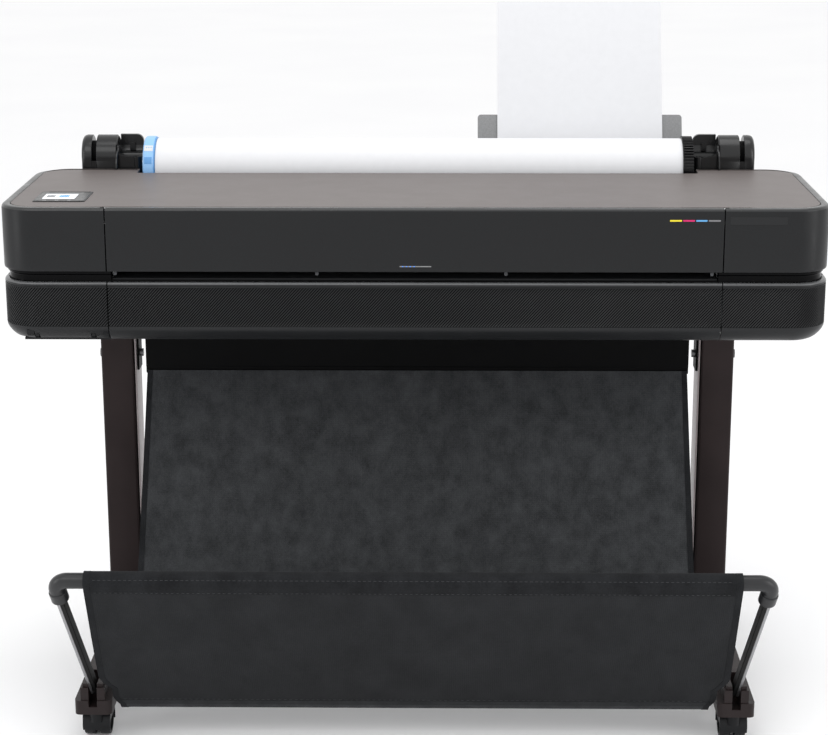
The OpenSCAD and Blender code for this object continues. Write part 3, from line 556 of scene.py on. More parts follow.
COVER = plastic("cover_black", (0.0108, 0.0113, 0.0122), 0.36, grain=2.2, contrast=0.14, specular=0.22)
# Painted highlight: a lighter, glossier black for the upward faces of the top rims, where they catch the
# light from above.
RIM_HIGHLIGHT = plastic("cover_rim_painted_highlight", (0.020, 0.021, 0.022), 0.26, grain=2.2, contrast=0.08, specular=0.45)
# Painted highlight: a bright grey for the upward faces of the lower body's lip, standing in for the light
# line along its top edge.
LIP_HIGHLIGHT = plastic("lip_painted_highlight", (0.075, 0.077, 0.080), 0.24, grain=2.2, contrast=0.08, specular=0.6)
# Painted shade: near black for the faces deep in the rib grooves and in the holder's slot.
GROOVE_SHADE = plastic("rib_groove_painted_shade", (0.0012, 0.0012, 0.0014), 0.5, grain=2.2, specular=0.05)
LOWER = plastic("lower_black", (0.0135, 0.0142, 0.0153), 0.36, grain=2.2, contrast=0.12, specular=0.24)
PANEL = plastic("panel_grey_brown", (0.124, 0.1065, 0.102), 0.48, grain=2.4, contrast=0.07, depth=0.035,
                gloss=0.015)
# Partly painted shade: the neck's own glossy black, darkened to near black so the front strip reads as the
# deep paper slot.
NECK_SLOT_SHADE = plastic("neck_gloss_black_slot_shade", (0.0012, 0.0012, 0.0015), 0.18, grain=3.0, contrast=0.2, depth=0.005,
               specular=0.07)
HOLDER = plastic("holder_satin_black", (0.0042, 0.0045, 0.0051), 0.22, grain=1.8, contrast=0.15, depth=0.015,
                 specular=0.48)
REAR = plastic("rear_cover_black", (0.013, 0.0135, 0.0145), 0.48, grain=2.4, contrast=0.12, specular=0.2)
INNER = plastic("inner_plastic", (0.009, 0.0095, 0.0105), 0.45, grain=1.6, specular=0.2)
STATION = plastic("station_grey", (0.045, 0.047, 0.052), 0.5, grain=1.6)
CARRIAGE = plastic("carriage_slate", (0.030, 0.034, 0.045), 0.42, grain=1.4)
LEG = paint("leg_dark_brown", (0.0235, 0.0165, 0.0165), 0.44, specular=0.12)
FOOT = paint("foot_dark_brown", (0.0175, 0.0118, 0.0118), 0.42, specular=0.22)
BRACE = paint("brace_black", (0.0022, 0.0023, 0.0025), 0.5, specular=0.06)
TUBE = paint("tube_dark_satin", (0.016, 0.0165, 0.018), 0.34, depth=0.02, specular=0.4)
ARM = metal("arm_silver", (0.36, 0.36, 0.37), 0.36, brushed=(1, 1, 0.08))
ARM_BLACK = plastic("arm_inner_black", (0.005, 0.005, 0.005), 0.4, specular=0.15)
STEEL = metal("sheet_steel", (0.55, 0.56, 0.57), 0.36, brushed=(0.06, 1, 1))
CHROME = metal("ground_steel", (0.74, 0.74, 0.75), 0.16, brushed=(0.04, 1, 1), depth=0.003)
BOLT = metal("bolt_steel", (0.14, 0.14, 0.145), 0.34)
BRASS = metal("gear_brass", (0.66, 0.50, 0.22), 0.32)
MOTOR = metal("motor_steel", (0.42, 0.42, 0.44), 0.34, brushed=(0.2, 1, 1))
RUBBER = plastic("roller_rubber", (0.035, 0.035, 0.036), 0.75, grain=0.9, depth=0.05)
BELT = plastic("belt_rubber", (0.010, 0.010, 0.010), 0.7, grain=1.0, depth=0.05)
CASTER = plastic("caster_black", (0.009, 0.0095, 0.0105), 0.36, specular=0.2)
WHEEL = plastic("wheel_rubber", (0.011, 0.0115, 0.0125), 0.55, grain=1.2, depth=0.05, specular=0.2)
BOARD = plastic("board_green", (0.010, 0.075, 0.030), 0.42, grain=6.0, contrast=0.3)
BLUE = plastic("hub_blue", (0.27, 0.50, 0.82), 0.38, grain=2.0, contrast=0.04, depth=0.01, specular=0.3)
BLUE_DEEP = plastic("hub_blue_deep", (0.10, 0.30, 0.62), 0.42, grain=2.0, contrast=0.06)
PALE = plastic("pale_grey", (0.62, 0.64, 0.66), 0.45, grain=2.0, contrast=0.04)
HUB_BLACK = plastic("hub_black", (0.006, 0.006, 0.0065), 0.24, depth=0.01, specular=0.35)
SUPPORT = plastic("support_grey", (0.225, 0.228, 0.232), 0.52, grain=2.6, contrast=0.12, specular=0.2)
FEEDER = plastic("feeder_black", (0.012, 0.0125, 0.0135), 0.48, specular=0.2)
PAPER = paper("paper_white", (0.665, 0.67, 0.69))
ROLL = paper("roll_paper", (0.735, 0.74, 0.76), 0.5)
CARD = paper("core_card", (0.36, 0.24, 0.14), 0.9)
CLOTH = fabric("sling_cloth", (0.025, 0.0262, 0.028), (0.054, 0.0565, 0.060))
# Painted shade: a darker copy of the sling cloth for the front panel, which faces down and away from the
# light.
CLOTH_FRONT_SHADE = fabric("sling_cloth_front_painted_shade", (0.0155, 0.0162, 0.0175), (0.0245, 0.0255, 0.0275), mottle=60.0)
CLOTH_LIGHT = fabric("hem_cloth", (0.020, 0.021, 0.0225), (0.034, 0.036, 0.038))
SLEEVE = fabric("sleeve_cloth", (0.010, 0.0105, 0.0115), (0.020, 0.021, 0.023), mottle=40.0)
LEG_RIB = paint("leg_rib_light", (0.30, 0.26, 0.26), 0.4)
THREAD = plastic("stitch_thread", (0.050, 0.052, 0.055), 0.7, grain=0.8, specular=0.2)
GLASS = glass_black("display_glass")
SCREEN = lit("display_screen", (0.86, 0.90, 0.95), 0.55)
SCREEN_DARK = lit("display_mark_dark", (0.035, 0.04, 0.045), 0.0)
SCREEN_BLUE = lit("display_mark_blue", (0.02, 0.20, 0.75), 0.5)
LABEL = plastic("label_black", (0.010, 0.0105, 0.0115), 0.35, depth=0.01, specular=0.3)
INK = {
    "yellow": plastic("ink_yellow", (0.80, 0.66, 0.02), 0.4, contrast=0.05),
    "magenta": plastic("ink_magenta", (0.62, 0.006, 0.13), 0.4, contrast=0.05),
    "blue": plastic("ink_blue", (0.11, 0.36, 0.68), 0.4, contrast=0.05),
    "grey": plastic("ink_grey", (0.17, 0.17, 0.18), 0.4, contrast=0.05),
}


# ---------------------------------------------------------------- camera, light and floor

CAMERA_AT = (49.9, -3183.5, 1461.2)
CAMERA_LENS = 89.73
CAMERA_SHIFT = (-0.0056, -0.0020)
CAMERA_DOWN = 14.822
CAMERA_LEFT = 0.773
CAMERA_ROLL = -0.063
LAMPS = {
    "key": ((-1.6, -2.4, 3.0), (0, 0, 0.8), (2.2, 1.6), 18),
    "top": ((0.2, -0.2, 3.2), (0, 0, 0.8), (2.6, 1.6), 22),
    "right": ((2.6, -1.8, 1.6), (0, 0, 0.7), (1.2, 2.0), 8),
    "strip_right": ((2.4, -1.0, 1.0), (0.6, -0.3, 0.9), (0.5, 1.4), 6),
    "strip_left": ((-2.4, -1.0, 1.0), (-0.6, -0.3, 0.9), (0.5, 1.4), 6),
}
FLOOR_REACH = 14.0


def make_camera():
    """The camera that fits the object's outline: a long lens, above the head and looking down."""
    data = bpy.data.cameras.new("camera")
    data.sensor_width = 36.0
    data.lens = CAMERA_LENS
    data.shift_x, data.shift_y = CAMERA_SHIFT
    data.clip_end = 30.0
    camera = add_object("camera", data)
    turn = (Matrix.Rotation(math.radians(CAMERA_LEFT), 4, "Z")
            @ Matrix.Rotation(math.radians(90 - CAMERA_DOWN), 4, "X")
            @ Matrix.Rotation(math.radians(CAMERA_ROLL), 4, "Z"))
    camera.matrix_world = Matrix.Translation(place(CAMERA_AT)) @ turn
    bpy.context.scene.camera = camera


def area_light(name, at, look, size, power):
    """A soft rectangular light at a point, aimed at another, both in metres of the row frame."""
    data = bpy.data.lights.new(name, "AREA")
    data.shape = "RECTANGLE"
    data.size, data.size_y = size
    data.energy = power
    lamp = add_object(name, data)
    lamp.location = at
    lamp.rotation_euler = (Vector(look) - Vector(at)).to_track_quat("-Z", "Y").to_euler()


def make_studio():
    """White surroundings, soft lamps and a pale floor that runs out of the view."""
    world = bpy.data.worlds.new("studio")
    bpy.context.scene.world = world
    world.use_nodes = True
    background = world.node_tree.nodes["Background"]
    background.inputs["Color"].default_value = (1.0, 1.0, 1.0, 1)
    background.inputs["Strength"].default_value = 1.04
    for name, settings in LAMPS.items():
        area_light(name, *settings)
    material, tree, shader = new_material("floor_pale", (0.86, 0.86, 0.87), 0.9, specular=0.1)
    stops = [(0.3, (0.92, 0.92, 0.93)), (0.7, (0.94, 0.94, 0.945))]
    tree.links.new(ramp(tree, noise(tree, scaled(tree), 900.0), stops), shader.inputs["Base Color"])
    mesh = bpy.data.meshes.new("floor")
    mesh.from_pydata([(x * FLOOR_REACH, y * FLOOR_REACH, 0) for x, y in ((-1, -1), (1, -1), (1, 1), (-1, 1))],
                     [], [(0, 1, 2, 3)])
    mesh.materials.append(material)
    add_object("floor", mesh)
    bpy.context.scene.view_settings.view_transform = "Standard"


make_camera()
make_studio()


def finish_piece(obj, body, slot, *nodes):
    """Declares what a piece rides on and the CAD nodes that it stands for, which it hides; slot is not used.
    """
    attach(obj, body)
    if nodes:
        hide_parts(*nodes)
    return obj


# ---------------------------------------------------------------- head: upper covers

RIM_OUTER = [(3.0, 770.9), (1.6, 770.9), (0.7, 771.6), (0.2, 773.0), (0.0, 776.0), (0.0, 866.6),
             (0.4, 869.0), (1.5, 871.2), (3.3, 872.5), (5.8, 873.0)]
RIM_COVER = RIM_OUTER + [(12.6, 873.0), (13.5, 872.6), (13.9, 871.6), (13.9, 866.5), (6.0, 864.0),
                         (3.0, 859.0)]


def make_upper_covers():
    """The two end covers, from the seam round the side to the back, and the wall beside the roll."""
    start = SEAM_X + SEAM_GAP
    right = sweep("upper_cover_right", start, back_s(SEAM_X + 0.2, UPPER_BACK), UPPER_BACK,
                  RIM_COVER, COVER)
    wall = prism("trough_wall", round_rect((STEP_BACK + 0.5, UPPER_BACK), (DECK_Z, 868.0), 3.0),
                 SEAM_X + 0.2, SEAM_X + 3.0, COVER, axis="x")
    ear = prism("hinge_ear", [(3.0, 858.0), (10.0, 858.0)] + arc(*WINDOW_HINGE, WINDOW_ROLL_R, -20, 90, 6)
                + [(3.0, HEAD_TOP)], start, SEAM_X + 8.0, COVER, axis="x")
    right = join("upper_cover_right", [right, wall, ear])
    left = mirrored(right, "upper_cover_left")
    for cover in (right, left):
        # The upward rim faces take the painted highlight material.
        paint_slope_highlight(cover, RIM_HIGHLIGHT, 865.5, 873.5)
        bevel(cover, 0.5)
    finish_piece(right, "root", "cover_black", "right_end_cover")
    finish_piece(left, "root", "cover_black", "left_end_cover")


def make_window():
    """The front window with its rolled top edge, which turns about the hinge axis."""
    rolled = arc(*WINDOW_HINGE, WINDOW_ROLL_R, 90, -90, 8)
    profile = RIM_OUTER + rolled + [(8.0, 867.6), (5.0, 864.5), (3.0, 859.0)]
    reach = SEAM_X - SEAM_GAP
    parts = [prism("window", profile, -reach, reach, COVER, axis="x")]
    for x in range(-440, 441, 110):
        parts.append(box_mesh("rib", (x - 1, x + 1), (2.9, 6.0), (776.0, 862.0), COVER))
    parts.append(prism("lip", [(2.9, 771.0), (7.0, 771.0), (7.0, 773.0), (2.9, 774.5)], -reach, reach,
                       COVER, axis="x"))
    window = join("window", parts)
    # The upward rim faces take the painted highlight material.
    paint_slope_highlight(window, RIM_HIGHLIGHT, 865.5, 873.5)
    bevel(window, 0.5)
    pins = [rod_x("pin", side * (SEAM_X - 2), side * (SEAM_X + 6), 1.5, WINDOW_HINGE, CHROME, 20)
            for side, _ in SIDES]
    finish_piece(window, "window", "cover_black", "front_window")
    finish_piece(join("window_pins", pins), "window", "steel")


def make_window_marks():
    """Ink stripes, the status light under the edge and the blank plate beside the seam."""
    stripes = [(400.5, 419.2, "yellow"), (421.1, 439.5, "magenta"), (441.4, 459.0, "blue"),
               (461.0, 479.8, "grey")]
    for x0, x1, colour in stripes:
        stripe = prism("ink_stripe_" + colour, round_rect((x0, x1), (853.0, 855.6), 0.7, 3),
                       -0.35, 0.3, INK[colour], axis="y", edge=0.15)
        finish_piece(stripe, "window", "cover_black")
    bar = prism("status_light", round_rect((-23.0, 27.0), (779.6, 781.3), 0.7, 3), -0.3, 0.3,
                SUPPORT, axis="y", edge=0.1)
    dots = [prism("dot", round_rect((x - 1.1, x + 1.1), (779.8, 781.1), 0.6, 3), -0.45, 0.0, SCREEN_BLUE,
                  axis="y") for x in (-18.0, -12.0, -6.0, 0.0)]
    finish_piece(bar, "window", "glass_black")
    finish_piece(join("status_dots", dots), "window", "glass_black")
    plate = prism("blank_plate", round_rect((494.7, 584.3), (847.8, 860.2), 1.6), -0.45, 0.5, LABEL,
                  axis="y", edge=0.25)
    finish_piece(plate, "root", "cover_black")


def make_top_panel():
    """The flat grey-brown top, cut back in the middle where the roll lies."""
    inset = 14.9
    radius = PLAN_R - inset
    x1, y0 = HALF_W - inset, inset
    step = SEAM_X - 3.0
    outline = arc(-x1 + radius, y0 + radius, radius, 180, 270, 14)
    outline += [(-SEAM_X, y0), (-SEAM_X + 0.4, y0 + 0.9), (SEAM_X - 0.4, y0 + 0.9), (SEAM_X, y0)]
    outline += arc(x1 - radius, y0 + radius, radius, 270, 360, 14)
    outline += arc(x1 - radius, PANEL_BACK - radius, radius, 0, 90, 14)
    outline += arc(step + 5, PANEL_BACK - 5, 5, 90, 180, 5)
    outline += arc(step - 5, STEP_BACK + 5, 5, 0, -90, 5)
    outline += arc(-step + 5, STEP_BACK + 5, 5, -90, -180, 5)
    outline += arc(-step - 5, PANEL_BACK - 5, 5, 0, 90, 5)
    outline += arc(-x1 + radius, PANEL_BACK - radius, radius, 90, 180, 14)
    panel = prism("top_plate", outline, HEAD_TOP - 5, HEAD_TOP, PANEL, edge=0.9, segments=3)
    finish_piece(panel, "root", "top_panel", "top_panel")


def make_display():
    """Touch display: a dark framed glass let into the panel, with a lit picture."""
    x, y = (-610.0, -526.0), (55.0, 144.0)
    frame_piece = prism("display_frame", round_rect(x, y, 4.0), 870.5, 874.2, LABEL, edge=0.8, segments=3)
    finish_piece(frame_piece, "root", "glass_black", "display_panel")
    glass = prism("display_glass", round_rect((x[0] + 2.2, x[1] - 2.2), (y[0] + 2.2, y[1] - 9.0), 2.6),
                  873.5, 874.55, GLASS, edge=0.3)
    finish_piece(glass, "root", "glass_black")
    ledge = prism("display_ledge", round_rect((x[0] + 12, x[1] - 3), (y[1] - 7.0, y[1] - 2.5), 1.0),
                  873.8, 874.5, REAR, edge=0.3)
    finish_piece(ledge, "root", "glass_black")
    screen = prism("display_screen", round_rect((-598.0, -546.0), (76.0, 118.0), 0.8), 874.3, 874.62, SCREEN)
    finish_piece(screen, "root", "glass_black")
    rng = random.Random(4)
    patches = [("dark", -593.5, -579.5, SCREEN_DARK), ("blue", -573.5, -557.0, SCREEN_BLUE)]
    for name, x0, x1, material in patches:
        marks = []
        for k in range(5):
            a = x0 + (x1 - x0) * k / 5
            h = 9.0 + 4.5 * rng.random()
            marks.append(prism("mark", round_rect((a, a + (x1 - x0) / 5 - 0.5), (98 - h, 98 + h), 0.8, 3),
                               874.5, 874.68, material))
        finish_piece(join("display_mark_" + name, marks), "root", "glass_black")
    dots = [prism("dot", round_rect((cx - 3, cx + 3), (61.5, 63.5), 0.8, 3), 874.4, 874.62, PALE)
            for cx in (-592, -572, -552)]
    finish_piece(join("display_ticks", dots), "root", "glass_black")


# ---------------------------------------------------------------- head: neck and lower covers

def make_neck():
    """Glossy dark skirt between the upper and the lower covers, open in front for the paper. Its black is the
    skirt's own colour, darkened further as painted shade so that the strip across the front reads as the deep
    paper slot.
    """
    profile = [(11.0, 751.0), (7.9, 751.0), (7.9, 762.5), (7.6, 764.3), (6.6, 765.6), (5.4, 766.5),
               (5.0, 767.6), (5.0, 770.8), (11.0, 770.8)]
    end = side_s(PANEL_BACK)
    right = sweep("neck_right", 480.0, end, LOWER_BACK, profile, NECK_SLOT_SHADE)
    left = sweep("neck_left", -end, -480.0, LOWER_BACK, profile, NECK_SLOT_SHADE)
    # The strip across the front is near black as painted shade of the paper slot.
    strip = prism("neck_strip", [(7.9, 751.0), (7.9, 755.4), (8.4, 755.9), (11.0, 755.9), (11.0, 751.0)],
                  -481.0, 481.0, NECK_SLOT_SHADE, axis="x")
    neck = bevel(join("neck", [right, left, strip]), 0.4)
    finish_piece(neck, "root", "neck_black", "neck_frame")


LIP = [(7.3, 750.5), (7.3, 753.4), (6.6, 753.9), (4.4, 753.9), (2.4, 753.4), (0.9, 752.2), (0.15, 750.6),
       (0.0, 748.6), (0.35, 747.9), (1.6, 747.7), (1.6, 746.5), (0.35, 746.3)]
BEVEL = [(0.0, 681.8), (0.7, 677.5), (2.9, 672.6), (6.6, 667.5), (11.4, 662.6), (17.0, 658.6),
         (22.5, 656.3), (28.0, 655.2), (28.0, 657.8), (23.0, 659.0), (3.0, 683.0), (3.0, 750.5)]
LOWER_PROFILE = LIP + [(0.0, 745.6), (1.3, 745.4), (1.3, 682.4)] + BEVEL


def make_lower_piece(name, start, end, planes, body, slot, *nodes):
    """One piece of the lower body between two arc lengths: lip, groove, slanting ribs and bevel.

    The ribs are cut off square at the planes given, each a point and its outward direction.
    """
    shell = sweep(name, start, end, LOWER_BACK, LOWER_PROFILE, LOWER, sharp=40)
    ribs = rib_band(name + "_ribs", start, end, LOWER_BACK, LOWER)
    for point, normal in planes:
        slice_off(ribs, point, normal)
    piece = join(name, [shell, ribs])
    # The upward lip faces take the painted highlight material.
    paint_slope_highlight(piece, LIP_HIGHLIGHT, 749.8, 754.2)
    bevel(piece, 0.5, 2, 50)
    return finish_piece(piece, body, slot, *nodes)


def make_lower_covers():
    """The front apron and the two corner pieces; gives the ink door and where the rear cover starts."""
    seam = SEAM_X - SEAM_GAP
    corner = SEAM_X + SEAM_GAP
    side = side_s(SIDE_SEAM_Y - 0.4)
    rear = side_s(SIDE_SEAM_Y + 0.8)
    make_lower_piece("front_apron", -seam, seam,
                     [((seam, 0, 0), (1, 0, 0)), ((-seam, 0, 0), (-1, 0, 0))],
                     "root", "cover_lower", "lower_front_cover")
    make_lower_piece("right_corner", corner, side,
                     [((corner, 0, 0), (-1, 0, 0)), ((0, SIDE_SEAM_Y - 0.4, 0), (0, 1, 0))],
                     "root", "cover_lower", "lower_right_cover")
    door = make_lower_piece("ink_door_skin", -side, -corner,
                            [((-corner, 0, 0), (1, 0, 0)), ((0, SIDE_SEAM_Y - 0.4, 0), (0, 1, 0))],
                            "ink_door", "cover_lower", "ink_door")
    return door, rear


def make_rear_cover(rear):
    """Side walls with their ribs, the back wall with its sockets and vents, the deck and the trough."""
    end = back_s(0, LOWER_BACK)
    rib_x = HALF_W - PLAN_R - 4
    rib_end = back_s(rib_x, LOWER_BACK)
    top = side_s(UPPER_BACK + 0.8)
    lower = LIP[:7] + [(0.0, 748.6), (0.0, 745.6), (0.0, 682.4)] + BEVEL
    upper = [(3.0, 745.0), (0.0, 745.0), (0.0, 803.4), (0.5, 805.0), (1.8, 805.9), (3.4, 806.0), (6.0, 806.0),
             (6.0, 803.0), (3.0, 803.0)]
    parts = []
    for side in (1, -1):
        parts.append(sweep("rear_lower", *pair(rear, end, side), LOWER_BACK, lower, REAR, sharp=40))
        ribs = rib_band("rear_ribs", *pair(rear, rib_end, side), LOWER_BACK, REAR, depth=0.9)
        slice_off(ribs, (0, SIDE_SEAM_Y + 0.8, 0), (0, -1, 0))
        slice_off(ribs, (side * rib_x, 0, 0), (-side, 0, 0))
        parts.append(ribs)
        parts.append(sweep("rear_upper", *pair(top, end, side), LOWER_BACK, upper, REAR))
    radius = PLAN_R - 2.0
    x1, y1 = HALF_W - 2.0, LOWER_BACK - 2.0
    trough_x, shelf_y = SEAM_X - 1.2, UPPER_BACK + 0.6
    deck = [(-x1, shelf_y), (-trough_x, shelf_y), (-trough_x, STEP_BACK), (trough_x, STEP_BACK),
            (trough_x, shelf_y), (x1, shelf_y)]
    deck += arc(x1 - radius, y1 - radius, radius, 0, 90, 14)
    deck += arc(-x1 + radius, y1 - radius, radius, 90, 180, 14)
    parts.append(prism("deck", deck, DECK_Z - 3.0, DECK_Z - 0.02, REAR))
    wall = [(STEP_BACK + y, z) for y, z in ((0.0, 803.5), (0.0, 866.6), (0.6, 867.4), (2.4, 867.4),
                                            (3.0, 866.6), (3.0, 803.5))]
    parts.append(prism("trough_front", wall, -trough_x, trough_x, REAR, axis="x"))
    cover = join("rear_shell", parts)
    openings = [((-317, -283), (688, 712)), ((-261, -239), (692, 708))]
    openings += [((x - 8, x + 8), (693, 707)) for x in (-180, -140)]
    openings += [((side * 540 - 50 + i * 8, side * 540 - 46 + i * 8), (z, z + 8))
                 for z in range(690, 739, 12) for side in (-1, 1) for i in range(12)]
    depth = (LOWER_BACK - 6, LOWER_BACK + 2)
    cut(cover, join("knife", [box_mesh("knife", x, depth, z, REAR) for x, z in openings]))
    tidy(cover, 40)
    finish_piece(cover, "root", "cover_black", "rear_cover", "rear_deck")


# ---------------------------------------------------------------- CAD nodes that stay, and small shapes

def dress(node, material, edge=0.0, segments=2, sharp=30):
    """Gives a CAD node its finish and smoothing, and rounds its edges a little."""
    obj = NODES[node]
    obj.data.materials.clear()
    obj.data.materials.append(material)
    obj.data.shade_smooth()
    obj.data.set_sharp_from_angle(angle=math.radians(sharp))
    return bevel(obj, edge, segments) if edge else obj


def pipe(name, path, radius, material, steps):
    """A round bar along a path, its cross-section carried along without twist."""
    points = [Vector(p) for p in path]
    rings, up = [], None
    for i, point in enumerate(points):
        along = (points[min(i + 1, len(points) - 1)] - points[max(i - 1, 0)]).normalized()
        up = along.orthogonal() if up is None else up
        up = (up - along * up.dot(along)).normalized()
        side = along.cross(up)
        rings.append([tuple(point + radius * (up * math.cos(2 * math.pi * k / steps)
                                              + side * math.sin(2 * math.pi * k / steps)))
                      for k in range(steps)])
    return loft(name, rings, material, 40)


def slab(name, outline, low, high, origin, along, across, material):
    """An outline in the plane of two directions at a point, drawn out along their cross product."""
    out = along.cross(across)
    rings = [[tuple(origin + along * a + across * b + out * h) for a, b in outline] for h in (low, high)]
    return loft(name, rings, material)


# ---------------------------------------------------------------- stand

FOOT_X = 522.0
PIVOT = (-66.0, 90.0)
TUBE_AT = (-198.0, 327.0)
TUBE_R = 12.5
ARM_TOP_X = 554.0
ARM_R = 9.0
POST_Z = (106.0, 655.0)


def make_legs():
    """Box legs with rounded edges, and a light rib between dark grooves down the inner side."""
    for side, word in SIDES:
        sections = [(round_rect(pair(493.6, 550.0, side), (287.0, 353.0), 4.5), LEG),
                    (round_rect(pair(491.0, 494.0, side), (297.0, 346.0), 0.5, 2), ARM_BLACK),
                    (round_rect(pair(489.1, 491.7, side), (289.5, 350.5), 1.1, 3), LEG_RIB)]
        bars = [prism("bar", outline, *POST_Z, material) for outline, material in sections]
        leg = bevel(join("post_" + word, bars), 0.5)
        finish_piece(leg, "root", "leg_paint", "leg_" + word)


def make_brace():
    """Folded steel band across the back of the stand, with a stepped lower hem and end flanges."""
    band = prism("brace_band", [(283.4, 530.2), (282.4, 531.4), (282.4, 541.6), (281.1, 542.8),
                                (281.1, 645.6), (281.9, 648.4), (284.2, 650.0), (305.0, 650.0),
                                (305.0, 530.2)], -471.0, 471.0, BRACE, axis="x")
    parts = [band]
    for side, _ in SIDES:
        parts.append(box_mesh("flange", pair(485.4, 489.0, side), (299.0, 336.0), (531.0, 650.0), BRACE))
        parts.append(box_mesh("link", pair(469.0, 486.0, side), (299.0, 303.0), (641.0, 650.0), BRACE))
    brace = bevel(join("brace_band", parts), 1.0)
    finish_piece(brace, "root", "brace_paint", "cross_brace")


def corner(at, one, two, reach):
    """Points of a rounded corner at a point between two directions, from the first to the second."""
    start, end = at + one * reach, at + two * reach
    weight = math.cos((math.pi - one.angle(two)) / 2)
    points = []
    for i in range(11):
        t = i / 10
        a, b, c = (1 - t) ** 2, 2 * t * (1 - t) * weight, t * t
        points.append((start * a + at * b + end * c) / (a + b + c))
    return points


def arm_frame(side):
    """Top and pivot points of a basket arm, the direction down it and the direction across it."""
    top = Vector((side * ARM_TOP_X, *TUBE_AT))
    pivot = Vector((side * FOOT_X, *PIVOT))
    down = (pivot - top).normalized()
    out = Vector((side, 0, 0))
    out = (out - down * out.dot(down)).normalized()
    return top, pivot, down, out


def make_basket_tube():
    """The tube that holds the sling's front edge, with smooth elbows and light collars."""
    path = []
    for side, _ in SIDES:
        top, _, down, _ = arm_frame(side)
        bend = [top + down * 44] + corner(top, down, Vector((-side, 0, 0)), 21)
        path += bend if side < 0 else bend[::-1]
    tube = pipe("basket_bar", path, TUBE_R, TUBE, 28)
    finish_piece(tube, "basket", "tube_paint", "basket_tube")
    for side, word in SIDES:
        top, _, down, _ = arm_frame(side)
        collar = pipe("collar_" + word, [top + down * d for d in (24, 44)], 14.2, TUBE, 28)
        finish_piece(bevel(collar, 1.6, 3), "basket", "arm_metal")


def make_basket_arms():
    """Flat arms with a silver outer strip on a wide black body, round at the pivot, and their pins."""
    solids, strips = [], []
    for side, _ in SIDES:
        top, pivot, down, out = arm_frame(side)
        across = down.cross(out) * side
        length = (pivot - top).length
        outline = [(34.0, -ARM_R)] + arc(length, 0, ARM_R, -90, 90, 12) + [(34.0, ARM_R)]
        turn = 1 if down.cross(across).dot(out) > 0 else -1

        def layer(name, low, high, shrink, material):
            shape = [(a, b * shrink) for a, b in outline]
            return slab(name, shape, *pair(low, high, turn), top, down, across, material)

        solids.append(layer("body", -6.0, 1.2, 1.0, ARM_BLACK))
        solids.append(rod_x("pin", side * 503.0, side * 541.0, 4.0, PIVOT, CHROME, 24))
        strips.append(layer("strip", 1.2, 6.0, 0.94, ARM))
    arms = bevel(join("arm_bodies", solids), 1.0)
    finish_piece(arms, "basket", "arm_metal", "basket_arms")
    finish_piece(bevel(join("arm_strips", strips), 0.8), "basket", "arm_metal")


# ---------------------------------------------------------------- basket sling

SLING_THICK = 1.3
SLEEVE_STEPS = 16
FRONT_STEPS = 34
BACK_STEPS = 60
SLEEVE_R = TUBE_R + 1.5
SEAM_DROP = 14.0
FOLD_FRONT = (-71.0, 66.0)
FOLD = [(-64.0, 57.5), (-55.0, 53.2), (-46.0, 53.4), (-38.5, 57.6)]
BACK_LOW = (-32.0, 66.0)
BACK_HIGH = (279.3, 536.0)


def sling_line():
    """Points (y, z) down the middle of the sling: seam, round the tube, front panel, fold, back."""
    tube = Vector(TUBE_AT)
    lean = (Vector(FOLD_FRONT) - tube).normalized()
    out = Vector((lean.y, -lean.x))
    line = [tuple(tube + lean * (SEAM_DROP + 3) + out * (SLEEVE_R - 2.4))]
    base = math.degrees(math.atan2(-out.y, -out.x))
    line += arc(*TUBE_AT, SLEEVE_R, base, base + 180, SLEEVE_STEPS)
    front = Vector(line[-1])
    line += [tuple(front.lerp(Vector(FOLD_FRONT), (k + 1) / FRONT_STEPS)) for k in range(FRONT_STEPS)]
    line += FOLD
    line += [tuple(Vector(BACK_LOW).lerp(Vector(BACK_HIGH), k / BACK_STEPS)) for k in range(BACK_STEPS + 1)]
    return line


SLING = sling_line()
SLING_AT = [0.0]
for one, two in zip(SLING, SLING[1:]):
    SLING_AT.append(SLING_AT[-1] + math.dist(one, two))
FRONT_START = SLING_AT[SLEEVE_STEPS + 1]
FRONT_END = SLING_AT[SLEEVE_STEPS + 1 + FRONT_STEPS]
BACK_START = SLING_AT[-BACK_STEPS - 1]
SLING_LENGTH = SLING_AT[-1]


def sling_half(s):
    """Half the cloth's width at a length along it."""
    if s <= FRONT_END:
        left = FRONT_END - s
        half = 489.0 + 17.5 * min(1.0, max(0.0, (left - 46.0) / 26.0)) ** 0.6
        return half - 9.0 * max(0.0, 1 - left / 24.0) ** 2
    if s < BACK_START:
        return 480.0 - 4.0 * (s - FRONT_END) / (BACK_START - FRONT_END)
    return 476.0 - 8.0 * min(1.0, (s - BACK_START) / 60.0)


